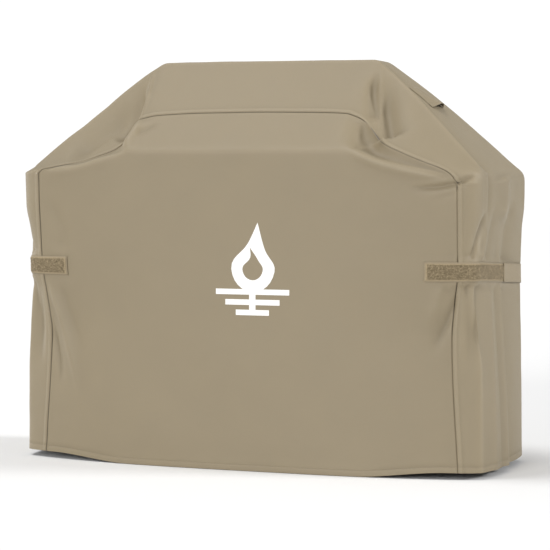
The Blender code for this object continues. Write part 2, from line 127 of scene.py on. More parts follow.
# The arched top edge of the front and back panels, from the middle to the corner: x of the wall
# below, then x, y and height of the seam, height of the fold below it, and how deep the cloth
# between fold and seam sinks in
ARCH = {
    1: (
        (0.000, 0.000, 0.193, 1.047, 0.934, 0.000),
        (0.150, 0.150, 0.193, 1.046, 0.934, 0.000),
        (0.300, 0.300, 0.196, 1.041, 0.934, 0.000),
        (0.325, 0.330, 0.199, 1.033, 0.934, 0.004),
        (0.345, 0.350, 0.205, 1.025, 0.932, 0.013),
        (0.366, 0.366, 0.213, 1.015, 0.924, 0.024),
        (0.392, 0.392, 0.232, 0.991, 0.913, 0.028),
        (0.435, 0.433, 0.256, 0.953, 0.897, 0.016),
        (0.492, 0.490, 0.268, 0.927, 0.883, 0.008),
        (0.570, 0.570, 0.276, 0.896, 0.868, 0.003),
        (0.612, 0.612, 0.279, 0.881, 0.859, 0.001),
        (0.643, 0.641, 0.279, 0.865, 0.850, 0.000),
        (0.661, 0.661, 0.278, 0.839, 0.828, 0.000),
    ),
    -1: (
        (0.000, 0.000, 0.193, 1.047, 0.934, 0.000),
        (0.150, 0.150, 0.193, 1.046, 0.934, 0.000),
        (0.300, 0.300, 0.197, 1.040, 0.934, 0.000),
        (0.335, 0.345, 0.201, 1.033, 0.935, 0.001),
        (0.352, 0.366, 0.203, 1.028, 0.936, 0.000),
        (0.364, 0.378, 0.207, 1.010, 0.933, -0.004),
        (0.374, 0.384, 0.216, 0.988, 0.928, -0.006),
        (0.388, 0.390, 0.234, 0.964, 0.923, -0.002),
        (0.415, 0.408, 0.254, 0.943, 0.917, 0.004),
        (0.460, 0.457, 0.267, 0.922, 0.904, 0.006),
        (0.570, 0.570, 0.276, 0.892, 0.880, 0.002),
        (0.612, 0.612, 0.279, 0.884, 0.874, 0.001),
        (0.645, 0.645, 0.279, 0.880, 0.868, 0.000),
        (0.661, 0.661, 0.278, 0.868, 0.852, 0.000),
    ),
}

# ---------------------------------------------------------------- fineness of the cloth

HEM_STEPS = (0.0, 0.0015, 0.004, 0.008, 0.012, 0.0155, 0.017, 0.0185, 0.021)
WALL_STEPS = 96
WALL_CROWDING = 0.5
BEND_STEPS = 6
SLOPE_STEPS = 18
BEND_MIDDLE, BEND_CORNER = 0.011, 0.008
BEND_CHANGE_X, BEND_CHANGE_WIDTH = 0.33, 0.05
BEND_LARGEST_SHARE = 0.42
SLOPE_CROWDING = 1.35
SINK_ROUNDNESS = 0.9
SINK_WAY = np.array([0, 0.75, -0.66])
SEAM_STEPS = (0.0, 0.001, 0.0022, 0.004, 0.006, 0.011, 0.0125, 0.014, 0.016)
CREST_STEPS = (0.003, 0.006, 0.010, 0.015, 0.022)
CORNER_STEPS = 14
SIDE_STEPS = 16
WINDOW_STEPS = 10
WINDOW_LARGEST_SHARE, CREST_LARGEST_SHARE = 0.75, 0.7
ROW_LINE_POINTS = 25
CLOTH_THICKNESS = 0.0008

# Seam, hem and stitching
GROOVE_DEPTH, GROOVE_WIDTH = 0.0018, 0.0012
ALLOWANCE_LIFT, ALLOWANCE_START, ALLOWANCE_END, ALLOWANCE_FADE = 0.0016, 0.0030, 0.0118, 0.0025
HEM_BAND_LIFT, HEM_BAND_FADE = 0.0006, 0.003
HEM_GROOVE_DEPTH, HEM_GROOVE_WIDTH = 0.0009, 0.0016
HEM_TURN_INSET, HEM_LENGTH = 0.0016, 3.76
TAPE_REACH = np.array([0.011, 0.008, 0.0045])
TAPE_COLUMNS = (0, 3, 4, 5)
TAPE_INSET, TAPE_THICKNESS = 0.0030, 0.0003
STITCH_PITCH, STITCH_LENGTH, STITCH_RADIUS = 0.0046, 0.0036, 0.00034
HEM_STITCH_HEIGHT, SEAM_STITCH_DISTANCE = 0.017, 0.004

# Camera
CAMERA_SIDE_ANGLE = math.radians(21.95)
CAMERA_DISTANCE = 6.4025
CAMERA_HEIGHT = 0.860
CAMERA_PITCH = math.radians(2.70)
CAMERA_LENS = 137.85


# ---------------------------------------------------------------- curves


def smooth(t):
    """Eases from 0 to 1."""
    t = np.clip(t, 0, 1)
    return t * t * (3 - 2 * t)


def smooth_curve(x, table):
    """Smooth curves through a table's rows, whose first column is x. They never overshoot."""
    table = np.asarray(table, float)
    knots, values = table[:, 0], table[:, 1:]
    gap = np.diff(knots)[:, None]
    slope = np.diff(values, axis=0) / gap
    same_way = slope[:-1] * slope[1:] > 0
    total = np.where(same_way, slope[:-1] + slope[1:], 1)
    inner = np.where(same_way, 2 * slope[:-1] * slope[1:] / total, 0)
    tangent = np.vstack([slope[:1], inner, slope[-1:]])
    x = np.clip(np.asarray(x, float), knots[0], knots[-1])
    i = np.clip(np.searchsorted(knots, x, side="right") - 1, 0, len(knots) - 2)
    t = (x - knots[i])[..., None] / gap[i]
    return (
        (2 * t**3 - 3 * t**2 + 1) * values[i]
        + (t**3 - 2 * t**2 + t) * tangent[i] * gap[i]
        + (3 * t**2 - 2 * t**3) * values[i + 1]
        + (t**3 - t**2) * tangent[i + 1] * gap[i]
    )


def bezier(a, b, c, t):
    return a * (1 - t) ** 2 + b * 2 * t * (1 - t) + c * t**2


def lengths_along(points, axis=0):
    """The distance to each point of a polyline, or of every row or column of a grid."""
    steps = np.linalg.norm(np.diff(points, axis=axis), axis=-1)
    start = np.zeros_like(np.take(steps, [0], axis))
    return np.concatenate([start, np.cumsum(steps, axis=axis)], axis=axis)


def points_along(points, distances):
    """Points at some distances along a polyline."""
    there = lengths_along(points)
    return np.stack([np.interp(distances, there, points[:, k]) for k in range(3)], axis=-1)


def from_ends(values):
    """How far each of some rising values is from the nearer end of their range."""
    return np.minimum(values - values[0], values[-1] - values)


def outside(value, middle, half, fade):
    """0 up to some half width from the middle, and easing to 1 past it."""
    return smooth((np.abs(value - middle) - half) / fade)


# ---------------------------------------------------------------- surface without its folds


def wall_section(height):
    height = np.clip(height, 0, SHOULDER_HEIGHT)
    return np.moveaxis(smooth_curve(height, WALL_LEVELS), -1, 0)


def side_bow(height):
    """How far the middle of a side wall stands out past its corner creases."""
    return SIDE_BOW + (HEM_BOW - SIDE_BOW) * smooth(1 - height / STRAP_LOW)


def hem_lift(x, height):
    """The hem lies flat in the middle and rises a little towards the corners."""
    rise = HEM_RISE * smooth((np.abs(x) - HEM_FLAT_HALF) / (HEM_RISE_END - HEM_FLAT_HALF))
    return rise * np.maximum(0, 1 - height / HEM_RISE_HEIGHT)


def wall(place, height, side=1):
    """Points on the walls. Place 0 is the front middle, 1 the front seam, 2 the front crease,
    3 the side's middle, 4 and 5 the rear crease and seam, 6 the rear middle."""
    place, height = np.broadcast_arrays(np.asarray(place, float), np.asarray(height, float))
    behind = place > SIDE_MIDDLE
    p = np.where(behind, REAR_MIDDLE - place, place)
    side_x, crease_y, seam_x, seam_y = wall_section(height)
    if side < 0:
        side_x = side_x + smooth_curve(height, LEFT_FULLNESS)[..., 0]
    belly = FRONT_Y - seam_y
    t = np.clip(p - FRONT_SEAM, 0, 1)
    # Where the front's own slope at the seam would meet the side
    corner_y = 3 * belly / seam_x * (side_x - seam_x) - seam_y
    inward = SIDE_MIDDLE - p
    side_bowed = side_x + side_bow(height) * (1 - inward**2)
    x = np.where(p <= FRONT_CREASE, bezier(seam_x, side_x, side_x, t), side_bowed)
    y = np.where(p <= FRONT_CREASE, bezier(-seam_y, corner_y, -crease_y, t), -crease_y * inward)
    x = np.where(p <= FRONT_SEAM, p * seam_x, x)
    y = np.where(p <= FRONT_SEAM, belly * np.abs(p) ** 3 - FRONT_Y, y)
    z = height + hem_lift(x, height)
    return np.stack([side * x, np.where(behind, -y, y), z], axis=-1)


def wall_normal(place, height, side=1):
    """The level outward direction of the wall."""
    step = 0.02
    along = wall(place + step, height) - wall(place - step, height)
    normal = np.stack([side * along[..., 1], -along[..., 0], 0 * along[..., 0]], axis=-1)
    return normal / np.linalg.norm(normal, axis=-1, keepdims=True)


def column_positions():
    """x of the panel's columns from the middle to the corner, closer together at the bends."""
    share = (ARCH_SHOULDER - ARCH_HOOD_END) / slope_length()
    window = [ARCH_HOOD_END + distance * share for distance in (WINDOW_TOP, WINDOW_BOTTOM)]
    stops = [0, 0.30, window[0], window[1], 0.62, ARCH_CORNER]
    counts = [24, 30, 7, 20, 12]
    parts = [np.linspace(a, b, n, endpoint=False) for a, b, n in zip(stops, stops[1:], counts)]
    return np.concatenate(parts + [[ARCH_CORNER]])


def slope_length():
    """Length of the sloping shoulder, from the hood's end edge to the side wall."""
    low = wall_section(SHOULDER_HEIGHT)[0]
    return math.hypot(low - HOOD_HALF_LENGTH, HEIGHT - SHOULDER_HEIGHT)


def half_panel(side):
    """Half of the front panel: columns from the middle outwards, rows from the hem to the seam,
    and the heights that the wall has along the outermost column."""
    x = column_positions()
    seam_x, seam_y, seam_z, fold_z, sink = np.moveaxis(smooth_curve(x, ARCH[side]), -1, 0)
    place = x / ARCH_CORNER
    seam = np.stack([side * seam_x, -seam_y, seam_z], axis=-1)
    fold = wall(place, fold_z, side)
    fold[:, 2] = fold_z
    reach = np.linalg.norm(seam - fold, axis=1)
    change = smooth((x - BEND_CHANGE_X) / BEND_CHANGE_WIDTH)
    bend = BEND_MIDDLE + (BEND_CORNER - BEND_MIDDLE) * change
    bend = np.minimum(bend, reach * BEND_LARGEST_SHARE)
    foot = fold_z - bend
    share = np.linspace(0, 1, WALL_STEPS + 1)[1:]
    share *= 1 + WALL_CROWDING * (1 - share)
    heights = HEM_STEPS[-1] + (foot[:, None] - HEM_STEPS[-1]) * share
    heights = np.hstack([np.tile(HEM_STEPS, (len(x), 1)), heights])
    rows = wall(place[:, None], heights, side)
    start = rows[:, -1]
    end = fold + (seam - fold) * (bend / reach)[:, None]
    t = (np.arange(1, BEND_STEPS + 1) / BEND_STEPS)[None, :, None]
    corner = bezier(start[:, None], fold[:, None], end[:, None], t)
    t = 1 - (1 - np.arange(1, SLOPE_STEPS + 1) / SLOPE_STEPS) ** SLOPE_CROWDING
    slope = end[:, None] + (seam - end)[:, None] * t[None, :, None]
    sunk = sink[:, None] * np.sin(np.pi * t[None, :]) ** SINK_ROUNDNESS
    slope += sunk[..., None] * SINK_WAY
    grid = np.concatenate([rows, corner, slope], axis=1)
    return grid, np.concatenate([heights[-1], grid[-1, heights.shape[1] :, 2]])


def shoulder_axes(side):
    """The sloping shoulder: the middle of its top edge, its way down and its outward normal."""
    top = np.array([side * HOOD_HALF_LENGTH, 0, HEIGHT])
    low = float(wall_section(SHOULDER_HEIGHT)[0])
    down = np.array([side * low, 0, SHOULDER_HEIGHT]) - top
    down /= np.linalg.norm(down)
    return top, down, np.array([-side * down[2], 0, side * down[0]])


def crest_points(side, x):
    """Where the strip's rows from the arch meet the front crease, or the hood's top edge."""
    hood = np.array([side * HOOD_HALF_LENGTH, -HOOD_HALF_DEPTH, HEIGHT])
    shoulder = wall(FRONT_CREASE, SHOULDER_HEIGHT, side)
    top = hood * np.stack([x / ARCH_HOOD_END, 1 + 0 * x, 1 + 0 * x], axis=-1)
    top[:, 2] -= HOOD_TILT * top[:, 0] / HOOD_HALF_LENGTH
    share = np.clip((x - ARCH_HOOD_END) / (ARCH_SHOULDER - ARCH_HOOD_END), 0, 1)
    down = hood + (shoulder - hood) * share[:, None] + shoulder_lift(side, share)
    return np.where(x[:, None] <= ARCH_HOOD_END, top, down)


def shoulder_lift(side, share):
    """The shoulder's fullness, some share of the way down it, as a vector."""
    fullness = smooth_curve(share, SHOULDER_FULLNESS[side])
    return fullness * shoulder_axes(side)[2] - HOOD_TILT * side * (1 - share[:, None]) * UPWARDS


def strip_row(front, crest, bow):
    """One row of the strip, from the dense line of its front part round to the rear seam."""
    length = lengths_along(front)[-1]
    even = np.linspace(SEAM_STEPS[-1], length - CREST_STEPS[-1], CORNER_STEPS + 1)[1:]
    crests = length - np.array((*CREST_STEPS[-2::-1], 0))
    near = points_along(front, np.concatenate([SEAM_STEPS, even, crests]))
    depth = -crest[1]
    window = min(WINDOW_HALF_WIDTH, WINDOW_LARGEST_SHARE * depth)
    squeeze = min(1, CREST_LARGEST_SHARE * (depth - window) / CREST_STEPS[-1])
    beside = -depth + np.array(CREST_STEPS) * squeeze
    before = np.concatenate([beside, np.linspace(beside[-1], -window, SIDE_STEPS + 1)[1:]])
    over = np.linspace(-window, window, WINDOW_STEPS + 1)[1:]
    y = np.concatenate([before, over, -before[-2::-1]])
    across = np.stack([crest[0] + bow * (1 - (y / depth) ** 2), y, crest[2] + 0 * y], axis=-1)
    return np.concatenate([near, across, near[::-1] * MIRROR])


def half_strip(side, panel, heights):
    """Half of the strip: rows from the hem up to the hood's middle, from front to rear seam."""
    t = np.linspace(0, 1, ROW_LINE_POINTS)
    rows = []
    for first, height in zip(panel[-1], heights):
        front = wall(FRONT_SEAM + t, height, side)
        front += (first - front[0]) * (1 - t[:, None])
        rows.append(strip_row(front, front[-1], side * side_bow(height)))
    x = column_positions()[:-1][::-1]
    top = panel[:-1, -1][::-1]
    for first, crest, here in zip(top, crest_points(side, x), x):
        if here > ARCH_SHOULDER:
            rise = (ARCH_CORNER - here) / (ARCH_CORNER - ARCH_SHOULDER)
            height = heights[-1] + (SHOULDER_HEIGHT - heights[-1]) * rise
            crest = wall(FRONT_CREASE, height, side)
        roundness = smooth((here - ARCH_ROUNDING) / (ARCH_CORNER - ARCH_ROUNDING))
        corner = np.array([crest[0], first[1] * CORNER_DEPTH, (first[2] + crest[2]) / 2])
        middle = (first + crest) / 2 * (1 - roundness) + corner * roundness
        front = bezier(first, middle, crest, t[:, None])
        rows.append(strip_row(front, crest, side * SIDE_BOW * roundness))
    return np.array(rows)


def relax(grid, weight, times, axis):
    """Evens a grid out along one axis where weight is above 0. The ends along it stay."""
    grid = np.moveaxis(grid.copy(), axis, 0)
    weight = np.moveaxis(weight, axis, 0)[1:-1, ..., None]
    for _ in range(times):
        grid[1:-1] += ((grid[:-2] + grid[2:]) / 2 - grid[1:-1]) * weight
    return np.moveaxis(grid, 0, axis)


def round_edges(strip, wall_rows):
    """Rounds the strip's crests, where its rows and columns meet at sharp lines."""
    crest_columns, fade_columns, slope_rows, seam_columns = 5, 3, 10, 8
    wall_share, corner_reach = 0.1, 0.02
    rows, columns = strip.shape[:2]
    crest = len(SEAM_STEPS) + CORNER_STEPS + len(CREST_STEPS) - 1
    column = np.arange(columns)
    from_crest = np.minimum(abs(column - crest), abs(columns - 1 - column - crest))
    on_slope = smooth((from_ends(np.arange(rows)) - wall_rows) / slope_rows)[:, None]
    near_crest = smooth((crest_columns - from_crest) / fade_columns)[None, :]
    weight = 0.5 * near_crest * (wall_share + (1 - wall_share) * on_slope)
    strip = relax(strip, weight, 4, 1)
    crest_line = strip[:, crest]
    gaps = np.zeros(rows)
    for side in (1, -1):
        for corner in (
            np.array([side * HOOD_HALF_LENGTH, -HOOD_HALF_DEPTH, HEIGHT]),
            wall(FRONT_CREASE, SHOULDER_HEIGHT, side),
        ):
            away = np.linalg.norm(crest_line - corner, axis=1)
            gaps += np.exp(-((away / corner_reach) ** 2))
    inner = smooth((from_ends(column) - len(SEAM_STEPS)) / seam_columns)
    weight = 0.5 * np.clip(gaps, 0, 1)[:, None] * inner[None, :]
    return relax(strip, weight, 8, 0)


def outward_normals(grid):
    normal = np.cross(np.gradient(grid, axis=0), np.gradient(grid, axis=1))
    normal /= np.linalg.norm(normal, axis=-1, keepdims=True) + 1e-12
    away = grid - np.array([0, 0, HEIGHT / 2])
    return normal if (normal * away).sum() > 0 else -normal


def panel_boundary(panel):
    """The front panel's sewn edge in the strip's row order: up the right side and over."""
    return np.concatenate([panel[-1], panel[-2::-1, -1], panel[0, -2::-1]])


def set_panel_boundary(panel, line):
    rows = panel.shape[1]
    panel[-1] = line[:rows]
    panel[::-1, -1] = line[rows - 1 : rows - 1 + panel.shape[0]]
    panel[0, ::-1] = line[-rows:]


# ---------------------------------------------------------------- folds

# A fold in the cloth: its line on a face (x and height on the front and back, y and height on the
# sides and shoulders), its height off the cloth, its half widths on the left and right of the
# line as it runs, how round its crest is, and how far it fades in and out at the ends as shares
# of its length
Fold = namedtuple("Fold", "line height left right crest fade_in fade_out")

SHOULDER_FOLDS = (
    # A light crest down each shoulder, and sunken cloth behind it
    (((-0.056, 1.195), (-0.130, 1.042), (-0.206, 0.876)), 0.004, 0.008, 0.008, 0.003, 0.12, 0.05),
    (((-0.030, 1.190), (-0.075, 1.100), (-0.120, 1.000), (-0.156, 0.905), (-0.158, 0.860)),
     -0.008, 0.030, 0.012, 0.003, 0.12, 0.05),
)

FOLDS = {
    "front": (
        # Ridge down the right end of the hood, between two hollows
        (((0.364, 1.172), (0.377, 1.120), (0.401, 1.045), (0.420, 0.992), (0.437, 0.948)),
         0.009, 0.005, 0.005, 0.002, 0.25, 0.05),
        (((0.350, 1.165), (0.359, 1.110), (0.378, 1.050), (0.388, 1.024)),
         -0.016, 0.013, 0.007, 0.014, 0.35, 0.20),
        (((0.392, 1.150), (0.406, 1.085), (0.430, 1.025), (0.454, 0.970)),
         -0.034, 0.014, 0.024, 0.022, 0.55, 0.06),
        # Crease and hollow at the left end of the hood
        (((-0.371, 1.178), (-0.360, 1.114), (-0.356, 1.067), (-0.354, 1.030)),
         0.009, 0.003, 0.004, 0.0015, 0.20, 0.40),
        (((-0.385, 1.150), (-0.384, 1.080), (-0.388, 1.030), (-0.408, 0.965)),
         -0.028, 0.008, 0.024, 0.010, 0.50, 0.06),
        (((-0.410, 1.100), (-0.440, 1.030), (-0.500, 0.970), (-0.590, 0.915)),
         -0.024, 0.022, 0.026, 0.024, 0.35, 0.30),
        (((-0.352, 1.036), (-0.357, 1.005), (-0.364, 0.970), (-0.380, 0.940)),
         0.011, 0.016, 0.010, 0.008, 0.30, 0.30),
        (((-0.345, 0.984), (-0.317, 1.001), (-0.278, 1.021)),
         -0.006, 0.005, 0.006, 0.004, 0.15, 0.60),
        # Rolls along the fold under the arched seam
        (((0.345, 0.934), (0.370, 0.921), (0.439, 0.893), (0.540, 0.868), (0.640, 0.850)),
         0.008, 0.007, 0.012, 0.003, 0.15, 0.30),
        (((-0.650, 0.876), (-0.550, 0.882), (-0.460, 0.902), (-0.380, 0.928)),
         0.006, 0.010, 0.014, 0.005, 0.20, 0.30),
        # Wrinkles at the right corner
        (((0.520, 0.826), (0.600, 0.829), (0.650, 0.837), (0.661, 0.840)),
         -0.011, 0.004, 0.007, 0.003, 0.50, 0.04),
        (((0.560, 0.838), (0.600, 0.842), (0.645, 0.850)),
         0.004, 0.005, 0.005, 0.003, 0.60, 0.20),
        (((0.570, 0.792), (0.615, 0.804), (0.660, 0.816)),
         -0.0022, 0.005, 0.007, 0.003, 0.60, 0.10),
        (((0.660, 0.838), (0.680, 0.847), (0.712, 0.866)),
         -0.012, 0.004, 0.006, 0.002, 0.05, 0.45),
        # Fan below the right strap and pull below the left one
        (((0.665, 0.560), (0.640, 0.480), (0.605, 0.405), (0.570, 0.340)),
         -0.012, 0.008, 0.018, 0.005, 0.05, 0.60),
        (((0.615, 0.560), (0.590, 0.480), (0.550, 0.410)),
         0.006, 0.014, 0.016, 0.008, 0.15, 0.60),
        (((-0.645, 0.560), (-0.603, 0.445), (-0.550, 0.280), (-0.520, 0.150)),
         0.009, 0.012, 0.010, 0.005, 0.20, 0.45),
        (((-0.640, 0.440), (-0.618, 0.340), (-0.595, 0.200)),
         -0.010, 0.010, 0.012, 0.006, 0.35, 0.50),
        (((-0.600, 0.550), (-0.558, 0.420), (-0.500, 0.300)),
         -0.007, 0.030, 0.020, 0.010, 0.25, 0.50),
        # Flat pulls above the left strap
        (((-0.640, 0.800), (-0.600, 0.740), (-0.580, 0.680), (-0.590, 0.625)),
         -0.005, 0.020, 0.030, 0.012, 0.40, 0.20),
    ),
    "right shoulder": SHOULDER_FOLDS,
    "left shoulder": SHOULDER_FOLDS,
    "right": (
        # Pulls from the shoulder corner down into the strap
        (((-0.158, 0.868), (-0.158, 0.800), (-0.165, 0.720)),
         -0.009, 0.010, 0.006, 0.003, 0.05, 0.50),
        (((-0.186, 0.770), (-0.196, 0.730), (-0.222, 0.680), (-0.250, 0.615)),
         -0.014, 0.006, 0.012, 0.005, 0.35, 0.02),
        (((-0.095, 0.800), (-0.110, 0.720), (-0.150, 0.622)),
         -0.006, 0.018, 0.018, 0.010, 0.40, 0.02),
        (((-0.160, 0.720), (-0.175, 0.670), (-0.200, 0.622)),
         0.007, 0.010, 0.010, 0.005, 0.30, 0.02),
        (((-0.020, 0.860), (-0.015, 0.800), (-0.030, 0.720)),
         0.014, 0.040, 0.034, 0.024, 0.10, 0.30),
        (((0.110, 0.790), (0.060, 0.720), (0.040, 0.610)),
         -0.012, 0.034, 0.036, 0.016, 0.30, 0.02),
        # Fan out of the strap's lower edge
        (((-0.238, 0.565), (-0.252, 0.510), (-0.262, 0.450)),
         -0.012, 0.006, 0.008, 0.004, 0.02, 0.60),
        (((-0.212, 0.565), (-0.218, 0.480), (-0.226, 0.300)),
         -0.018, 0.030, 0.012, 0.010, 0.02, 0.50),
        (((-0.130, 0.550), (-0.130, 0.400), (-0.135, -0.030)),
         0.008, 0.022, 0.024, 0.012, 0.05, 0.00),
        # Upright crest on the side, which hides the cloth that falls back behind it
        (((-0.030, 0.720), (-0.029, 0.600), (-0.026, 0.450), (-0.024, -0.030)),
         0.007, 0.005, 0.030, 0.002, 0.20, 0.00),
        (((-0.070, 0.720), (-0.070, 0.450), (-0.064, -0.030)),
         -0.006, 0.016, 0.020, 0.006, 0.25, 0.00),
        (((0.004, 0.740), (0.006, 0.450), (0.010, -0.030)),
         -0.016, 0.060, 0.009, 0.004, 0.50, 0.00),
    ),
    "left": (
        # A hollow down the wall, pulls into the strap, and upright folds under it
        (((-0.040, 0.760), (-0.030, 0.450), (-0.030, -0.030)),
         -0.018, 0.024, 0.036, 0.014, 0.30, 0.00),
        (((-0.205, 0.780), (-0.222, 0.690), (-0.245, 0.622)),
         -0.012, 0.008, 0.014, 0.005, 0.40, 0.02),
        (((0.060, 0.700), (0.055, 0.450), (0.050, -0.030)),
         0.007, 0.012, 0.012, 0.006, 0.30, 0.00),
        (((-0.120, 0.553), (-0.105, 0.400), (-0.100, -0.030)),
         0.007, 0.014, 0.012, 0.006, 0.30, 0.00),
        (((-0.222, 0.555), (-0.230, 0.480), (-0.228, 0.250)),
         -0.015, 0.010, 0.012, 0.006, 0.10, 0.50),
    ),
    "back": (
        # Ridges and hollows at both ends of the hood, rolls under the seam, pulls at the straps
        (((-0.352, 1.168), (-0.368, 1.110), (-0.398, 1.045), (-0.432, 0.952)),
         0.008, 0.007, 0.006, 0.004, 0.35, 0.10),
        (((-0.345, 1.150), (-0.352, 1.090), (-0.378, 1.005)),
         -0.011, 0.012, 0.010, 0.010, 0.40, 0.20),
        (((-0.380, 1.130), (-0.410, 1.065), (-0.455, 0.970)),
         -0.012, 0.016, 0.012, 0.010, 0.45, 0.20),
        (((0.352, 1.165), (0.362, 1.110), (0.385, 1.040), (0.415, 0.970)),
         0.007, 0.006, 0.007, 0.004, 0.35, 0.10),
        (((0.378, 1.120), (0.402, 1.050), (0.440, 0.975)),
         -0.013, 0.012, 0.016, 0.010, 0.45, 0.20),
        (((0.370, 0.924), (0.439, 0.896), (0.540, 0.872), (0.640, 0.853)),
         0.004, 0.010, 0.016, 0.006, 0.20, 0.30),
        (((-0.650, 0.872), (-0.550, 0.880), (-0.460, 0.900), (-0.380, 0.926)),
         0.004, 0.010, 0.018, 0.006, 0.20, 0.30),
        (((0.600, 0.555), (0.545, 0.440), (0.500, 0.320)),
         -0.007, 0.014, 0.018, 0.008, 0.20, 0.60),
        (((-0.610, 0.555), (-0.560, 0.450), (-0.530, 0.300)),
         -0.008, 0.014, 0.018, 0.008, 0.20, 0.60),
    ),
}

WAVES = ((0.0022, 0.22, 1), (0.0007, 0.06, 2))  # height, size and random seed
QUIET_X, QUIET_Z = (0.05, 0.16, 0.15), (0.60, 0.18, 0.12)  # middle, half size and fade
FACE_START, FACE_FADE = 0.02, 0.05
WALL_FACE_START, WALL_FACE_FADE = 0.655, 0.03
SHOULDER_FACE_START, SHOULDER_FACE_FADE = 0.345, 0.02


def line_distance(q, line):
    """Signed distance from points to a line, right of its way positive, and the share of the
    line's length where the nearest place is."""
    far = 9.0
    line = smooth_line(np.asarray(line, float))
    there = lengths_along(line)
    best = np.full(q.shape[:-1], far)
    signed = np.zeros(q.shape[:-1])
    share = np.zeros(q.shape[:-1])
    for a, b, start in zip(line, line[1:], there):
        way = b - a
        t = np.clip(((q - a) @ way) / (way @ way), 0, 1)
        gap = q - a - t[..., None] * way
        distance = np.linalg.norm(gap, axis=-1)
        nearer = distance < best
        sign = np.sign(way[1] * (q - a)[..., 0] - way[0] * (q - a)[..., 1])
        best = np.where(nearer, distance, best)
        signed = np.where(nearer, distance * sign, signed)
        share = np.where(nearer, (start + t * np.linalg.norm(way)) / there[-1], share)
    return signed, share


def smooth_line(line):
    """A rounder line through the same points."""
    finer = 4
    table = np.column_stack([np.linspace(0, 1, len(line)), line])
    return smooth_curve(np.linspace(0, 1, finer * len(line)), table)


def fold_height(q, fold):
    """How far a fold lifts the cloth at points of its face."""
    shortest = 0.001
    distance, share = line_distance(q, fold.line)
    width = np.where(distance < 0, fold.left, fold.right)
    away = np.sqrt(distance**2 + fold.crest**2) - fold.crest
    fade = smooth(share / max(fold.fade_in, shortest))
    fade = fade * smooth((1 - share) / max(fold.fade_out, shortest))
    return fold.height * fade * np.exp(-away / width)


def waviness(points, size, seed):
    """Gentle random unevenness with bumps of a given size."""
    offset = Vector((seed * 7.3, seed * 3.1, seed * 5.7))
    flat = points.reshape(-1, 3)
    values = [noise.noise(Vector(p) / size + offset) for p in flat]
    return np.array(values).reshape(points.shape[:-1])


def strap_calm(x, y, z):
    """1 under the strap, which holds the cloth flat, and 0 away from it."""
    rear_seam, front_crease = 0.26, -0.21
    half_height, height_fade = 0.031, 0.014
    inner_x, inner_fade = 0.53, 0.03
    fall = STRAP_FALL * np.clip((y - front_crease) / (rear_seam - front_crease), 0, 1)
    middle = (STRAP_LOW + STRAP_HIGH) / 2 - fall
    beside = smooth(1 - (np.abs(z - middle) - half_height) / height_fade)
    return beside * smooth((np.abs(x) - inner_x) / inner_fade)


def face_weights(x, y):
    """How much each place belongs to each face that folds are given on."""

    def beyond(value, start, fade):
        return smooth((value - start) / fade)

    return {
        "front": beyond(-y, FACE_START, FACE_FADE),
        "back": beyond(y, FACE_START, FACE_FADE),
        "right": beyond(x, WALL_FACE_START, WALL_FACE_FADE),
        "left": beyond(-x, WALL_FACE_START, WALL_FACE_FADE),
        "right shoulder": beyond(x, SHOULDER_FACE_START, SHOULDER_FACE_FADE),
        "left shoulder": beyond(-x, SHOULDER_FACE_START, SHOULDER_FACE_FADE),
    }


def cloth_height(points):
    """How far the cloth stands off the plain surface at points of that surface."""
    x, y, z = np.moveaxis(points, -1, 0)
    weights = face_weights(x, y)
    total = np.zeros(x.shape)
    for face, rows in FOLDS.items():
        q = points[..., [0, 2]] if face in ("front", "back") else points[..., [1, 2]]
        for row in rows:
            total += weights[face] * fold_height(q, Fold(*row))
    loose = 1 - strap_calm(x, y, z)
    loud = np.clip(outside(x, *QUIET_X) + outside(z, *QUIET_Z), 0, 1)
    waves = sum(height * waviness(points, size, seed) for height, size, seed in WAVES)
    return total * loose + loose * loud * waves


def seam_strength(points):
    """How deep a seam is. The right one is pulled flat but for a stretch below the strap."""
    fade, corner_gap = 0.02, 0.01
    low, low_fade = 0.44, 0.06
    x, _, z = np.moveaxis(points, -1, 0)
    corner_z = ARCH[1][-1][3]
    above = smooth((z - STRAP_HIGH) / fade) * smooth((corner_z - corner_gap - z) / fade)
    below = smooth((low - z) / low_fade)
    return 1 - (0.65 * above + 0.5 * below) * (x > 0)


def seam_profile(distance, allowance, strength):
    """The groove at a sewn edge, and the raised band of the seam allowance under the strip."""
    height = -GROOVE_DEPTH * strength * np.exp(-((distance / GROOVE_WIDTH) ** 2))
    if allowance:
        up = smooth((distance - ALLOWANCE_START / 3) / ALLOWANCE_START)
        down = smooth((distance - ALLOWANCE_END) / ALLOWANCE_FADE)
        height = height + ALLOWANCE_LIFT * (up - down)
    return height


def hem_profile(z_from_edge):
    """The stitched hem: a doubled band with a shallow groove along its stitches."""
    groove = np.exp(-(((z_from_edge - HEM_STITCH_HEIGHT) / HEM_GROOVE_WIDTH) ** 2))
    band = 1 - smooth((z_from_edge - HEM_HEIGHT) / HEM_BAND_FADE)
    return HEM_BAND_LIFT * band - HEM_GROOVE_DEPTH * groove


# ---------------------------------------------------------------- finished surfaces


def build_surfaces():
    """The front panel and the strip, as grids of points."""
    halves = {side: half_panel(side) for side in (1, -1)}
    panel = np.concatenate([halves[-1][0][:0:-1], halves[1][0]])
    strips = {side: half_strip(side, *halves[side]) for side in (1, -1)}
    strip = np.concatenate([strips[1], strips[-1][-2::-1]])
    strip = round_edges(strip, panel.shape[1])
    return panel, strip


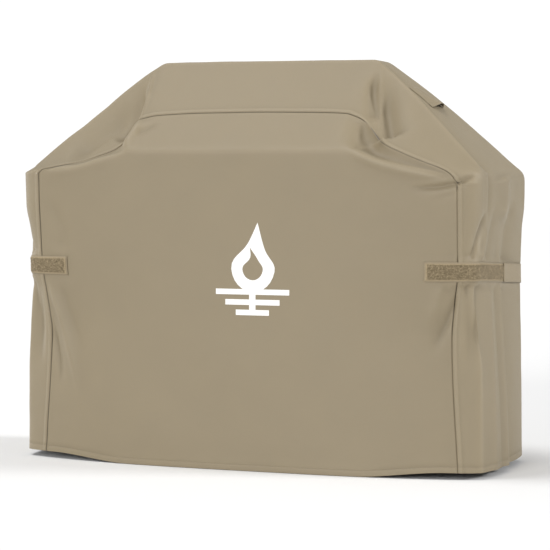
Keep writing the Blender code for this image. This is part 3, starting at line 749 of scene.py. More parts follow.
def sewn_normals(panel, strip):
    """Normals of the panels and the strip, the same on both at the seams, and evened out."""
    front, middle = outward_normals(panel), outward_normals(strip)
    joint = panel_boundary(front) + middle[:, 0]
    joint /= np.linalg.norm(joint, axis=-1, keepdims=True)
    set_panel_boundary(front, joint)
    middle[:, 0], middle[:, -1] = joint, joint * MIRROR
    for axis in (0, 1):
        front = relax(front, np.full(front.shape[:2], 0.5), 4, axis)
        middle = relax(middle, np.full(middle.shape[:2], 0.5), 4, axis)
    set_panel_boundary(front, joint)
    middle[:, 0], middle[:, -1] = joint, joint * MIRROR
    return front, middle


def distance_to_edges(panel):
    """How far each point of the front panel is from its sewn edge, along rows and columns."""
    upwards = lengths_along(panel[:, ::-1], 1)[:, ::-1]
    right = lengths_along(panel[::-1])[::-1]
    left = lengths_along(panel)
    return np.minimum(upwards, np.minimum(left, right))


def height_over_hem(grid, axis):
    """How high each point is over the lower edge that its row or column of the grid ends at."""
    grid = np.moveaxis(grid, axis, 0)
    low = np.minimum(grid[0, ..., 2], grid[-1, ..., 2])
    return np.moveaxis(grid[..., 2] - low[None], 0, axis)


Cloth = namedtuple("Cloth", "points normals seam plane")


def plane_coordinates(grid, upright):
    """Where each point was on the flat cloth, in metres, for the weave."""
    u, v = lengths_along(grid), lengths_along(grid, 1)
    u = u - u[len(u) // 2][None, :]
    v = v - v[:, :1] if upright else v - v[:, v.shape[1] // 2][:, None]
    return np.stack([u, v, 0 * u], axis=-1)


def finished_cloth():
    """Both panels and the strip with their folds, seams and hem."""
    panel, strip = build_surfaces()
    panel_normals, strip_normals = sewn_normals(panel, strip)
    edge, strength = distance_to_edges(panel), seam_strength(panel)
    hem = height_over_hem(panel, 1)
    made = {}
    for name, way in (("front", 1), ("back", MIRROR)):
        grid, normals = panel * way, panel_normals * way
        height = cloth_height(grid) + hem_profile(hem)
        height += seam_profile(edge, False, strength)
        points = grid + normals * height[..., None]
        made[name] = Cloth(points, normals, edge, plane_coordinates(grid, True))
    away = (0.03,) * (strip.shape[1] - 2 * len(SEAM_STEPS))
    edge = np.broadcast_to(np.array(SEAM_STEPS + away + SEAM_STEPS[::-1]), strip.shape[:2])
    height = cloth_height(strip) + hem_profile(height_over_hem(strip, 0))
    height += seam_profile(edge, True, seam_strength(strip))
    points = strip + strip_normals * height[..., None]
    made["strip"] = Cloth(points, strip_normals, edge, plane_coordinates(strip, False))
    return made


# ---------------------------------------------------------------- making pieces


def new_object(name, points, faces, materials):
    mesh = bpy.data.meshes.new(name)
    mesh.from_pydata(np.asarray(points).reshape(-1, 3).tolist(), [], faces)
    mesh.update()
    mesh.shade_smooth()
    for material in materials:
        mesh.materials.append(material)
    thing = bpy.data.objects.new(name, mesh)
    bpy.context.scene.collection.objects.link(thing)
    return thing


def grid_faces(rows, columns, keep=None, closed=False):
    """Quads over a grid of points. keep says which quads stay, closed joins the last row on."""
    faces = []
    for i in range(rows if closed else rows - 1):
        after = (i + 1) % rows
        for j in range(columns - 1):
            if keep is None or keep[i, j]:
                a, b = i * columns + j, after * columns + j
                faces.append((a, a + 1, b + 1, b))
    return faces


def put_attribute(thing, name, values):
    values = np.asarray(values, float)
    kind = "FLOAT_VECTOR" if values.ndim > 1 and values.shape[-1] == 3 else "FLOAT"
    attribute = thing.data.attributes.new(name, kind, "POINT")
    attribute.data.foreach_set("vector" if kind == "FLOAT_VECTOR" else "value", values.ravel())


def face_outwards(thing, normals):
    """Turns the faces over if they look against the given outward normals."""
    mesh = thing.data
    own = np.zeros(len(mesh.vertices) * 3)
    mesh.vertex_normals.foreach_get("vector", own)
    if (own.reshape(-1, 3) * np.asarray(normals).reshape(-1, 3)).sum() < 0:
        mesh.flip_normals()


def grid_piece(name, points, normals, materials, plane=None, seam=None, keep=None, closed=False):
    """A sheet through a grid of points, with what its material reads."""
    rows, columns = points.shape[:2]
    if plane is None:
        plane = plane_coordinates(points, True)
    if seam is None:
        seam = np.zeros((rows, columns))
    thing = new_object(name, points, grid_faces(rows, columns, keep, closed), materials)
    face_outwards(thing, normals)
    put_attribute(thing, "weave", plane.reshape(-1, 3))
    # The seam attribute carries painted shade and highlights along the seams. On the loop tape it
    # carries the pile height
    put_attribute(thing, "seam", seam.ravel())
    # How the cloth bends. From this the cloth material paints highlights on ridges and shade in
    # valleys
    put_attribute(thing, "rubbing_and_painted_light", bending(points, normals).ravel())
    return thing


def bending(points, normals):
    """How sharply the cloth bends: above 0 along ridges and below 0 along valleys."""
    sharp_radius = 0.015
    total = np.zeros(points.shape[:2])
    for axis in (0, 1):
        p = np.moveaxis(points, axis, 0)
        n = np.moveaxis(normals, axis, 0)[1:-1]
        second = p[2:] + p[:-2] - 2 * p[1:-1]
        spacing = np.linalg.norm(p[2:] - p[:-2], axis=-1) / 2
        bend = np.zeros(p.shape[:2])
        bend[1:-1] = -(second * n).sum(-1) / (spacing**2 + 1e-9)
        total += np.moveaxis(bend, 0, axis)
    total = np.clip(total * sharp_radius, -1, 1)[..., None]
    for axis in (0, 1):
        total = relax(total, np.full(total.shape[:2], 0.5), 2, axis)
    return total[..., 0]


def thicken(thing, thickness, inner=0):
    """Gives a sheet its thickness, inwards. inner is how many slots on its inner material is."""
    shell = thing.modifiers.new("cloth", "SOLIDIFY")
    shell.thickness = thickness
    shell.offset = -1.0
    shell.use_even_offset = False
    shell.material_offset = inner


def place_piece(thing, body, slot, *nodes):
    """Lets a piece ride on a body and hides the CAD nodes it stands for. The material slot is not
    used.
    """
    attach(thing, body)
    if nodes:
        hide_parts(*nodes)


def window_quads(strip):
    """Which quads of the strip's grid stay: all but those over the two vent windows."""
    middle = (strip[1:, 1:] + strip[:-1, :-1] + strip[1:, :-1] + strip[:-1, 1:]) / 4
    x, y, z = np.moveaxis(middle, -1, 0)
    down = shoulder_axes(1)[1]
    along = (abs(x) - HOOD_HALF_LENGTH) * down[0] + (z - HEIGHT) * down[2]
    on_slope = (abs(x) > HOOD_HALF_LENGTH) & (z > SHOULDER_HEIGHT)
    inside = (along > WINDOW_TOP) & (along < WINDOW_BOTTOM) & (abs(y) < WINDOW_HALF_WIDTH)
    return ~(inside & on_slope)


# ---------------------------------------------------------------- panels, hem and seam tapes


# The piece each sheet stands for, its flat size and its flat area
SHEETS = {
    "front": ("front_panel", (1.34, 1.10), 1.33),
    "back": ("back_panel", (1.34, 1.10), 1.33),
    "strip": ("top_side_panel", (0.56, 3.44), 1.90),
}


def seam_shade(sheet, allowance):
    """Painted shade, above 0 in the groove of a seam, and a painted highlight, below 0 on the raised
    band of its allowance.
    """
    band_start, band_fade, band_weight = 0.001, 0.002, 0.6
    distance = sheet.seam
    groove = np.exp(-((distance / GROOVE_WIDTH) ** 2))
    shade = groove * seam_strength(sheet.points) ** 1.5
    if allowance:
        band = smooth((distance - band_start) / band_fade)
        band = band * smooth((ALLOWANCE_END + band_fade - distance) / band_fade)
        shade = shade - band_weight * band
    return shade


def make_cloth(cloth, looks):
    """The front panel, the back panel and the strip."""
    materials = [looks["cloth"], looks["lining"]]
    for key, sheet in cloth.items():
        name, flat, area = SHEETS[key]
        is_strip = key == "strip"
        keep = window_quads(sheet.points) if is_strip else None
        shade = seam_shade(sheet, is_strip)
        thing = grid_piece(
            name + "_cloth", sheet.points, sheet.normals, materials, sheet.plane, shade, keep
        )
        thicken(thing, CLOTH_THICKNESS, inner=1)
        place_piece(thing, "cover", "cover_cloth", name)


def around_hem(cloth, rows):
    """The lowest rows of the cloth once round: front, right, back and left."""
    count = len(HEM_STEPS)
    front, back, strip = (getattr(cloth[key], rows) for key in ("front", "back", "strip"))
    parts = [
        front[:-1, :count],
        np.swapaxes(strip[:count, :-1], 0, 1),
        back[:0:-1, :count],
        np.swapaxes(strip[::-1][:count, :0:-1], 0, 1),
    ]
    return np.concatenate(parts)


def make_hem(cloth, looks):
    """The turned-in layer of the hem, and its row of stitches."""
    points, normals = around_hem(cloth, "points"), around_hem(cloth, "normals")
    inner = points - normals * HEM_TURN_INSET
    hem = grid_piece("hem_turn", inner, normals, [looks["cloth"], looks["cloth"]], closed=True)
    thicken(hem, CLOTH_THICKNESS)
    place_piece(hem, "cover", "cover_cloth", "bottom_hem")
    row = HEM_STEPS.index(HEM_STITCH_HEIGHT)
    line = np.concatenate([points[:, row], points[:1, row]])
    out = np.concatenate([normals[:, row], normals[:1, row]])
    make_stitches("hem_stitches", [(line, out)], looks["thread"], "cover")


def sewn_lines(cloth):
    """The strip's rows of stitches beside the front and the back seam."""
    strip = cloth["strip"]
    column = SEAM_STEPS.index(SEAM_STITCH_DISTANCE)
    return [(strip.points[:, c], strip.normals[:, c]) for c in (column, -1 - column)]


def line_into_panel(panel, m):
    """The panel's points that lead inwards from place m of its sewn edge."""
    columns, rows = panel.shape[:2]
    if m < rows:
        return panel[::-1, m]
    if m < rows + columns - 1:
        return panel[columns - 1 - (m - rows + 1), ::-1]
    return panel[:, 2 * rows + columns - 3 - m]


def make_seam_tapes(cloth, looks):
    """Sealing tape on the inside of both long seams."""
    strip = cloth["strip"]
    near = 12
    for key, edge, way in (("front", 0, 1), ("back", -1, -1)):
        columns = [edge + way * column for column in TAPE_COLUMNS]
        tape = []
        for m in range(strip.points.shape[0]):
            inwards = points_along(line_into_panel(cloth[key].points, m)[:near], TAPE_REACH)
            tape.append(np.concatenate([inwards, strip.points[m, columns]]))
        tape = np.array(tape)
        normals = strip.normals[:, [edge]] * np.ones((1, tape.shape[1], 1))
        tape = tape - normals * TAPE_INSET
        thing = grid_piece(key + "_seam_tape_strip", tape, normals, [looks["tape"]])
        thicken(thing, TAPE_THICKNESS)
        place_piece(thing, "cover", "seam_tape", key + "_seam_tape")


# ---------------------------------------------------------------- stitches

STITCH_RINGS = 5
STITCH_SIDES = 6


def stitch_shape():
    """One stitch as rings of points: along, across and up, for a stitch of length 2."""
    taper, rise_middle, rise_drop = 0.55, 0.9, 1.5
    rings = []
    for along in np.linspace(-1, 1, STITCH_RINGS):
        radius = STITCH_RADIUS * (1 - taper * along**2)
        rise = STITCH_RADIUS * (rise_middle - rise_drop * along**2)
        for k in range(STITCH_SIDES):
            turn = 2 * math.pi * k / STITCH_SIDES
            rings.append((along, radius * math.cos(turn), rise + radius * math.sin(turn)))
    return np.array(rings)


def stitch_faces():
    """The faces of one stitch, as places in its rings of points."""
    faces = []
    for ring in range(STITCH_RINGS - 1):
        for k in range(STITCH_SIDES):
            a, b = ring * STITCH_SIDES + k, ring * STITCH_SIDES + (k + 1) % STITCH_SIDES
            faces.append((a, b, b + STITCH_SIDES, a + STITCH_SIDES))
    last = (STITCH_RINGS - 1) * STITCH_SIDES
    faces.append(tuple(reversed(range(STITCH_SIDES))))
    faces.append(tuple(range(last, last + STITCH_SIDES)))
    return faces


def make_stitches(name, lines, material, body=None):
    """Stitches of thread along lines. Each line is its points and its outward normals. With no body
    given, the stitches are put on no body."""
    shape, pattern = stitch_shape(), stitch_faces()
    points, faces = [], []
    for line, out in lines:
        there = lengths_along(line)
        middle = np.arange(STITCH_PITCH / 2, there[-1] - STITCH_PITCH / 2, STITCH_PITCH)
        centre = points_along(line, middle)
        half = STITCH_LENGTH / 2
        way = points_along(line, middle + half) - points_along(line, middle - half)
        way /= np.linalg.norm(way, axis=1, keepdims=True)
        up = np.stack([np.interp(middle, there, out[:, k]) for k in range(3)], axis=-1)
        up -= way * (up * way).sum(1, keepdims=True)
        up /= np.linalg.norm(up, axis=1, keepdims=True)
        across = np.cross(way, up)
        for c, w, a, u in zip(centre, way, across, up):
            first = len(points) * len(shape)
            points.append(c + shape[:, :1] * w * half + shape[:, 1:2] * a + shape[:, 2:] * u)
            faces += [tuple(first + k for k in face) for face in pattern]
    thing = new_object(name, np.concatenate(points), faces, [material])
    if body:
        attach(thing, body)
    return thing


# ---------------------------------------------------------------- straps

BAND_LIFT = 0.0026
LOOP_LIFT = 0.0038
HOOK_LIFT = 0.0060
TONGUE_LIFT = 0.0078
TONGUE_REST = 0.0016
LOOP_MARGIN = 0.0045
BAND_END, LOOP_END, HOOK_START = 3 + 2 / 3, 3 + 1 / 3, 3.04
TONGUE_LANDING, TONGUE_DROP = 4.25, 0.5
TIP_PRESS = 0.0014
BAND_STEPS, TONGUE_STEPS, STRAP_ROWS, STRAP_MIDDLE_ROW = 70, 90, 13, 6
BAND_THICKNESS, TONGUE_THICKNESS, LOOP_THICKNESS, HOOK_THICKNESS = 0.0009, 0.0011, 0.0008, 0.0004
BAND_WIDTH, TONGUE_WIDTH, TONGUE_MARGIN = 0.057, 0.056, 0.0005
EDGE_DROP, EDGE_WIDTH = 0.0010, 0.0010


def strap_fall(place):
    """How far the strap has dropped on its way from the front crease to the rear seam."""
    return STRAP_FALL * np.clip((place - FRONT_CREASE) / (REAR_SEAM - FRONT_CREASE), 0, 1)


def even_places(start, end, steps):
    """Places round the corner at equal distances along the strap."""
    fine = 400
    places = np.linspace(start, end, fine)
    there = lengths_along(wall(places, (STRAP_LOW + STRAP_HIGH) / 2))
    return np.interp(np.linspace(0, there[-1], steps), there, places)


def strap_grid(side, start, end, margin, lift, steps, rows, edge_drop=0.0):
    """A band round the corner, which falls with the strap: points and normals. margin is how far
    its edges are inside the strap's, and lift is a number or one per place."""
    share = np.linspace(0, 1, rows)
    low, high = STRAP_LOW + margin, STRAP_HIGH - margin
    heights = low + (high - low) * share
    place, height = np.meshgrid(even_places(start, end, steps), heights, indexing="ij")
    height = height - strap_fall(place)
    normal = wall_normal(place, height, side)
    lift = np.broadcast_to(np.asarray(lift, float), (steps,))[:, None] * np.ones((1, rows))
    edge = from_ends(share) * (heights[-1] - heights[0])
    drop = edge_drop * np.exp(-((edge / EDGE_WIDTH) ** 2))[None, :]
    return wall(place, height, side) + normal * (lift - drop)[..., None], normal


def outline(points, normals, inset):
    """A grid's outline some points in from its edge, as one closed line."""
    a, b = inset, -1 - inset
    parts = [
        (points[a:b, a], normals[a:b, a]),
        (points[b, a:b], normals[b, a:b]),
        (points[b:a:-1, b], normals[b:a:-1, b]),
        (points[a, b:a:-1], normals[a, b:a:-1]),
        (points[a : a + 1, a], normals[a : a + 1, a]),
    ]
    return np.concatenate([p for p, _ in parts]), np.concatenate([n for _, n in parts])


def make_strap(side, word, looks):
    """The band with its loop tape, and the free strap with its hook tape."""
    start = STRAP_START_X / ARCH_CORNER
    points, normals = strap_grid(
        side, start, BAND_END, 0, BAND_LIFT, BAND_STEPS, STRAP_ROWS, EDGE_DROP
    )
    band = grid_piece(word + "_strap_band_cloth", points, normals, [looks["strap"]])
    thicken(band, BAND_THICKNESS)
    place_piece(band, "cover", "cover_cloth", word + "_strap_band")
    length = lengths_along(points[:, STRAP_MIDDLE_ROW])[-1]
    make_loop_tape(side, word, looks, start + 0.008)
    make_tongue(side, word, looks)
    make_stitches(word + "_band_stitches", [outline(points, normals, 1)], looks["thread"], "cover")


def make_loop_tape(side, word, looks, start):
    """Tape with a raised bed of loops between two flat woven edges."""
    steps, rows = 210, 30
    flat_edge, edge_fade, flat_ends, ends_fade = 0.045, 0.03, 1, 2
    bed_height, pile_height = 0.0004, 0.0018
    points, normals = strap_grid(side, start, LOOP_END, LOOP_MARGIN, LOOP_LIFT, steps, rows)
    generator = np.random.default_rng(11 if side > 0 else 12)
    pile = generator.uniform(0, 1, (steps, rows))
    bed = smooth((from_ends(np.linspace(0, 1, rows)) - flat_edge) / edge_fade)[None, :]
    ends = smooth((from_ends(np.arange(steps)) - flat_ends) / ends_fade)[:, None]
    rise = bed * ends * (bed_height + pile_height * pile)
    # The pile height goes to the material, which paints shade between the loops and light on their
    # tips
    tape = grid_piece(
        word + "_loop_tape_pile", points + normals * rise[..., None], normals, [looks["loop"]],
        seam=1 + (pile - 1) * bed * ends,
    )
    thicken(tape, LOOP_THICKNESS)
    place_piece(tape, "cover", "loop_tape", word + "_loop_tape")


def tongue_lift(places):
    """The tongue rises off the side to lie on the hook tape, and its tip is pressed down."""
    landed = smooth((TONGUE_LANDING - places) / TONGUE_DROP)
    pressed = smooth((HOOK_START - places) / (HOOK_START - SIDE_MIDDLE))
    return TONGUE_REST + (TONGUE_LIFT - TONGUE_REST) * landed - TIP_PRESS * pressed


def make_tongue(side, word, looks):
    """The free strap from the rear seam, with hook tape on the inner face of its end."""
    lift = tongue_lift(even_places(SIDE_MIDDLE, REAR_SEAM, TONGUE_STEPS))
    points, normals = strap_grid(
        side, SIDE_MIDDLE, REAR_SEAM, TONGUE_MARGIN, lift, TONGUE_STEPS, STRAP_ROWS
    )
    tongue = grid_piece(word + "_strap_tongue_cloth", points, normals, [looks["strap"]])
    thicken(tongue, TONGUE_THICKNESS)
    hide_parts(word + "_strap_tongue")
    middle = points[:, STRAP_MIDDLE_ROW]
    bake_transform(tongue)
    flat = (TONGUE_WIDTH, lengths_along(middle)[-1])
    lines = [outline(points[:-2], normals[:-2], 1)]
    stitches = make_stitches(word + "_tongue_stitches", lines, looks["thread"])
    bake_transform(stitches)
    make_hook_tape(side, word, looks)


def make_hook_tape(side, word, looks):
    """A stiff tape whose short hooks face the loops."""
    steps, rows = 40, 24
    half_foot, half_width, lean, reach = 0.12, 0.10, 0.25, 0.0007
    lift = HOOK_LIFT + 0.0002
    points, normals = strap_grid(side, HOOK_START, LOOP_END, LOOP_MARGIN, lift, steps, rows)
    tape = grid_piece(word + "_hook_tape_base", points, normals, [looks["hook"]])
    thicken(tape, HOOK_THICKNESS)
    place_piece(tape, word + "_strap", "hook_tape", word + "_hook_tape")
    corners, faces = [], []
    for i in range(1, steps - 1):
        for j in range(1, rows - 1):
            base = points[i, j] - normals[i, j] * HOOK_THICKNESS
            way = (points[i + 1, j] - points[i - 1, j]) / 2
            over = (points[i, j + 1] - points[i, j - 1]) / 2
            first = len(corners)
            corners.append(base - way * half_foot - over * half_width)
            corners.append(base + way * half_foot - over * half_width)
            corners.append(base + over * half_foot)
            corners.append(base - normals[i, j] * reach + way * lean)
            faces += [(first, first + 1, first + 3), (first + 1, first + 2, first + 3)]
            faces += [(first + 2, first, first + 3), (first, first + 2, first + 1)]
    hooks = new_object(word + "_hooks", np.array(corners), faces, [looks["hook"]])
    place_piece(hooks, word + "_strap", "hook_tape")


# ---------------------------------------------------------------- vents


def shoulder_points(side, along, across, lift):
    """Points some way down the shoulder, some way across it and some way off its cloth."""
    top, down, normal = shoulder_axes(side)
    along, across, lift = (np.asarray(v, float)[..., None] for v in (along, across, lift))
    share = along[..., 0] / slope_length()
    fullness = shoulder_lift(side, share.ravel()).reshape(*share.shape, 3)
    cloth = top + along * down + across * REARWARDS + fullness
    return cloth + (lift + cloth_height(cloth)[..., None]) * normal


def make_vent_hood(side, word, looks):
    """A hood sewn down at its top and sides, whose hemmed lower edge stands off the shoulder."""
    rows, columns, hem_row = 30, 41, 26
    rest, pucker_height, hem_height, hem_start, hem_fade = 0.0016, 0.0008, 0.0006, 0.86, 0.04
    arch_sharpness, opening_sharpness, dip = 1.5, 1.4, 0.03
    down, across = np.meshgrid(np.linspace(0, 1, rows), np.linspace(-1, 1, columns), indexing="ij")
    arch = np.cos(across * np.pi / 2) ** arch_sharpness
    pucker = pucker_height * np.sin(across * 9 + side) * np.sin(down * 5)
    lift = rest + VENT_BULGE * arch * down**opening_sharpness + pucker * arch
    lift += hem_height * smooth((down - hem_start) / hem_fade)
    along = VENT_TOP + (VENT_BOTTOM - VENT_TOP) * (down + dip * arch * down)
    points = shoulder_points(side, along, across * VENT_HALF_WIDTH, lift)
    normals = np.broadcast_to(shoulder_axes(side)[2], points.shape)
    hood = grid_piece(word + "_vent_hood_cloth", points, normals, [looks["cloth"], looks["lining"]])
    thicken(hood, 0.0010, inner=1)
    place_piece(hood, "cover", "cover_cloth", word + "_vent_hood")
    edges = (np.s_[:, 1], np.s_[:, -2], np.s_[1], np.s_[hem_row])
    lines = [(points[edge], normals[edge]) for edge in edges]
    make_stitches(word + "_vent_stitches", lines, looks["thread"], "cover")


def wire(start, end, across, normal, first):
    """A square wire between two points: its corners, and its faces numbered on from first."""
    radius = 0.00035
    turns = [math.pi / 2 * turn for turn in range(4)]
    around = [across * math.cos(a) * radius + normal * math.sin(a) * radius for a in turns]
    faces = [(k, (k + 1) % 4, (k + 1) % 4 + 4, k + 4) for k in range(4)]
    faces += [(3, 2, 1, 0), (4, 5, 6, 7)]
    corners = [point + step for point in (start, end) for step in around]
    return corners, [tuple(first + k for k in face) for face in faces]


def make_vent_mesh(side, word, looks):
    """An open screen of crossed wires behind the window."""
    pitch, lower, upper = 0.0024, -0.0046, -0.0040
    half = WINDOW_HALF_WIDTH + MESH_MARGIN
    first, last = WINDOW_TOP - MESH_MARGIN, WINDOW_BOTTOM + MESH_MARGIN
    _, down, normal = shoulder_axes(side)
    wires = []
    for y in np.arange(-half, half + pitch / 2, pitch):
        ends = shoulder_points(side, [first, last], [y, y], [lower, lower])
        wires.append((ends, REARWARDS))
    for along in np.arange(first, last + pitch / 2, pitch):
        ends = shoulder_points(side, [along, along], [-half, half], [upper, upper])
        wires.append((ends, down))
    corners, faces = [], []
    for ends, across in wires:
        more_corners, more_faces = wire(*ends, across, normal, len(corners))
        corners += more_corners
        faces += more_faces
    mesh = new_object(word + "_vent_screen", np.array(corners), faces, [looks["mesh"]])
    mesh.data.shade_flat()
    place_piece(mesh, "cover", "vent_mesh", word + "_vent_mesh")


# ---------------------------------------------------------------- emblem


def make_emblem(looks):
    """The printed mark, laid on the curve of the front panel."""
    first_cut, cut_pitch, same_place = 0.008, 0.012, 0.00002
    face_lift, back_lift = 0.0005, 0.0001
    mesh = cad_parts["front_emblem"].data.copy()
    mesh.name = "front_print"
    bm = bmesh.new()
    bm.from_mesh(mesh)
    low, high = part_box("front_emblem")
    for axis in (0, 2):
        for place in np.arange(low[axis] + first_cut, high[axis], cut_pitch):
            point, normal = Vector(), Vector()
            point[axis], normal[axis] = place, 1
            bmesh.ops.bisect_plane(
                bm, geom=bm.verts[:] + bm.edges[:] + bm.faces[:],
                plane_co=point, plane_no=normal, dist=same_place,
            )
    middle = (low.y + high.y) / 2
    spots = np.array([v.co for v in bm.verts])
    place = spots[:, 0] / wall_section(spots[:, 2])[2]
    base = wall(np.abs(place), spots[:, 2], 1)
    base[:, 0] = spots[:, 0]
    cloth = base[:, 1] - cloth_height(base)
    for v, y in zip(bm.verts, cloth):
        v.co.y = y - (face_lift if v.co.y < middle else back_lift)
    bm.to_mesh(mesh)
    bm.free()
    mesh.materials.clear()
    mesh.materials.append(looks["print"])
    thing = bpy.data.objects.new("front_print", mesh)
    bpy.context.scene.collection.objects.link(thing)
    place_piece(thing, "cover", "emblem_print", "front_emblem")


# ---------------------------------------------------------------- materials


def new_material(name):
    """A new material with its node tree and its shader."""
    material = bpy.data.materials.new(name)
    material.use_nodes = True
    tree = material.node_tree
    return material, tree, tree.nodes["Principled BSDF"]


def feed(tree, node, values):
    """Fill a node's inputs. An input is a value, or a socket to link from."""
    for key, value in values.items():
        if isinstance(value, bpy.types.NodeSocket):
            tree.links.new(value, node.inputs[key])
        else:
            node.inputs[key].default_value = value


def add(tree, kind, values, **settings):
    """A new node with its settings and its inputs."""
    node = tree.nodes.new(kind)
    for key, value in settings.items():
        setattr(node, key, value)
    feed(tree, node, values)
    return node


def calc(tree, operation, a, b=0.0, c=0.0):
    return add(tree, "ShaderNodeMath", {0: a, 1: b, 2: c}, operation=operation).outputs[0]


def negated(tree, value):
    return calc(tree, "MULTIPLY", value, -1)


def positive_part(tree, value, factor):
    """The value times a factor where the value is over 0, and 0 elsewhere."""
    return calc(tree, "MULTIPLY", calc(tree, "MAXIMUM", value, 0), factor)


def blend_colours(tree, share, a, b):
    values = {0: share, 6: a, 7: b}
    return add(tree, "ShaderNodeMix", values, data_type="RGBA").outputs[2]


def attribute(tree, name, output="Fac"):
    return add(tree, "ShaderNodeAttribute", {}, attribute_name=name).outputs[output]


def scaled(tree, vector, scale):
    return add(tree, "ShaderNodeMapping", {"Vector": vector, "Scale": scale}).outputs[0]


def noise_value(tree, vector, scale, detail=3.0, roughness=0.55):
    values = {"Vector": vector, "Scale": scale, "Detail": detail, "Roughness": roughness}
    return add(tree, "ShaderNodeTexNoise", values).outputs["Fac"]


def bumped(tree, height, distance, normal=None, strength=1.0):
    values = {"Height": height, "Distance": distance, "Strength": strength}
    if normal is not None:
        values["Normal"] = normal
    return add(tree, "ShaderNodeBump", values).outputs[0]


def plain_weave(tree, vector, pitch):
    """Height of a plain weave, 0 to 1, whose threads cross every half pitch."""
    parts = add(tree, "ShaderNodeSeparateXYZ", {0: vector})
    waves = []
    for axis in (0, 1):
        turns = calc(tree, "MULTIPLY", parts.outputs[axis], 2 * math.pi / pitch)
        waves.append(calc(tree, "SINE", turns))
    return calc(tree, "MULTIPLY_ADD", calc(tree, "MULTIPLY", *waves), 0.5, 0.5)


def scaled_colour(colour, factor):
    return tuple(c * factor for c in colour) + (1,)


def cloth_colour(tree, cloth, mottle, threads, colour):
    """Uneven dyed cloth. Its ridges are lighter, partly from rubbing and partly a painted highlight.
    Painted shade darkens its valleys and seam grooves, and a painted highlight lightens the raised
    band of the seam allowance.
    """
    patches = noise_value(tree, cloth, 2.3, 2)
    tone = calc(tree, "MULTIPLY_ADD", mottle, 0.45, calc(tree, "MULTIPLY", threads, 0.35))
    tone = calc(tree, "MULTIPLY_ADD", patches, 0.35, tone)
    base = blend_colours(tree, tone, scaled_colour(colour, 0.90), scaled_colour(colour, 1.09))
    rubbed_and_highlight_tone = tuple(min(1, c * 1.18 + 0.02) for c in colour) + (1,)
    rubbing_and_painted_light, seam = attribute(tree, "rubbing_and_painted_light"), attribute(tree, "seam")
    # Painted light: ridges lighter, partly rubbing and partly a painted highlight; valleys and seam
    # grooves darker with painted shade; the allowance band lighter with a painted highlight
    ridge = positive_part(tree, rubbing_and_painted_light, 0.45)
    layers = (
        (ridge, rubbed_and_highlight_tone),
        (positive_part(tree, negated(tree, rubbing_and_painted_light), 0.45), scaled_colour(colour, 0.62)),
        (positive_part(tree, negated(tree, seam), 0.35), rubbed_and_highlight_tone),
        (positive_part(tree, seam, 0.75), scaled_colour(colour, 0.30)),
    )
    for share, layer in layers:
        base = blend_colours(tree, share, base, layer)
    return base, ridge


def cloth_material(name, colour, roughness, sheen, weave=0.0011, weave_depth=0.00010, gloss=0.35):
    """Coated woven polyester: weave, slubs, mottling, rubbed ridges with a painted highlight, and
    painted shade in valleys and seams.
    """
    material, tree, shader = new_material(name)
    cloth = attribute(tree, "weave", "Vector")
    mottle = noise_value(tree, cloth, 9, 4)
    warp = noise_value(tree, scaled(tree, cloth, (900, 60, 1)), 1, 1)
    weft = noise_value(tree, scaled(tree, cloth, (60, 900, 1)), 1, 1)
    threads = calc(tree, "MULTIPLY", calc(tree, "ADD", warp, weft), 0.5)
    base, ridge = cloth_colour(tree, cloth, mottle, threads, colour)
    rough = calc(tree, "MULTIPLY_ADD", mottle, 0.12, roughness - 0.06)
    normal = bumped(tree, noise_value(tree, cloth, 38, 3, 0.5), 0.0010, strength=0.5)
    normal = bumped(tree, threads, 0.00008, normal)
    values = {
        "Base Color": base,
        "Roughness": calc(tree, "MULTIPLY_ADD", ridge, -0.2, rough),
        "Specular IOR Level": gloss,
        "Sheen Weight": sheen,
        "Sheen Roughness": 0.45,
        "Sheen Tint": (1, 0.95, 0.86, 1),
        "Normal": bumped(tree, plain_weave(tree, cloth, weave), weave_depth, normal),
    }
    feed(tree, shader, values)
    return material


def loop_material():
    """Fuzzy pile, with painted shade between the loops and a painted highlight at their tips."""
    material, tree, shader = new_material("loop_pile")
    cloth = attribute(tree, "weave", "Vector")
    fuzz = noise_value(tree, cloth, 420, 3, 0.7)
    clumps = noise_value(tree, cloth, 115, 2)
    tip = calc(tree, "POWER", attribute(tree, "seam"), 2.0)
    tip = calc(tree, "MULTIPLY_ADD", tip, 0.75, calc(tree, "MULTIPLY", fuzz, 0.35))
    tone = calc(tree, "MULTIPLY_ADD", clumps, 0.7, calc(tree, "SUBTRACT", tip, 0.43))
    values = {
        "Base Color": blend_colours(tree, tone, (0.125, 0.097, 0.056, 1), (0.380, 0.300, 0.186, 1)),
        "Roughness": 0.92,
        "Specular IOR Level": 0.15,
        "Sheen Weight": 0.06,
        "Sheen Roughness": 0.6,
        "Normal": bumped(tree, fuzz, 0.0007),
    }
    feed(tree, shader, values)
    return material


def tape_material():
    """Smooth bonded sealing tape."""
    material, tree, shader = new_material("sealing_tape")
    cloth = attribute(tree, "weave", "Vector")
    cloudy = noise_value(tree, cloth, 30, 3)
    values = {
        "Base Color": blend_colours(tree, cloudy, (0.19, 0.165, 0.125, 1), (0.25, 0.215, 0.165, 1)),
        "Roughness": calc(tree, "MULTIPLY_ADD", cloudy, 0.2, 0.28),
        "Normal": bumped(tree, plain_weave(tree, cloth, 0.0014), 0.00003),
    }
    feed(tree, shader, values)
    return material


def plain_material(name, dark, light, roughness, scale, depth, sheen=0.0):
    """A dyed material with fine unevenness, for thread, hooks, screen and print."""
    material, tree, shader = new_material(name)
    where = add(tree, "ShaderNodeTexCoord", {}).outputs["Object"]
    grain = noise_value(tree, where, scale, 3)
    values = {
        "Base Color": blend_colours(tree, grain, (*dark, 1), (*light, 1)),
        "Roughness": calc(tree, "MULTIPLY_ADD", grain, 0.16, roughness - 0.08),
        "Sheen Weight": sheen,
        "Normal": bumped(tree, grain, depth),
    }
    feed(tree, shader, values)
    return material


CLOTH_COLOUR = (0.246, 0.199, 0.125)
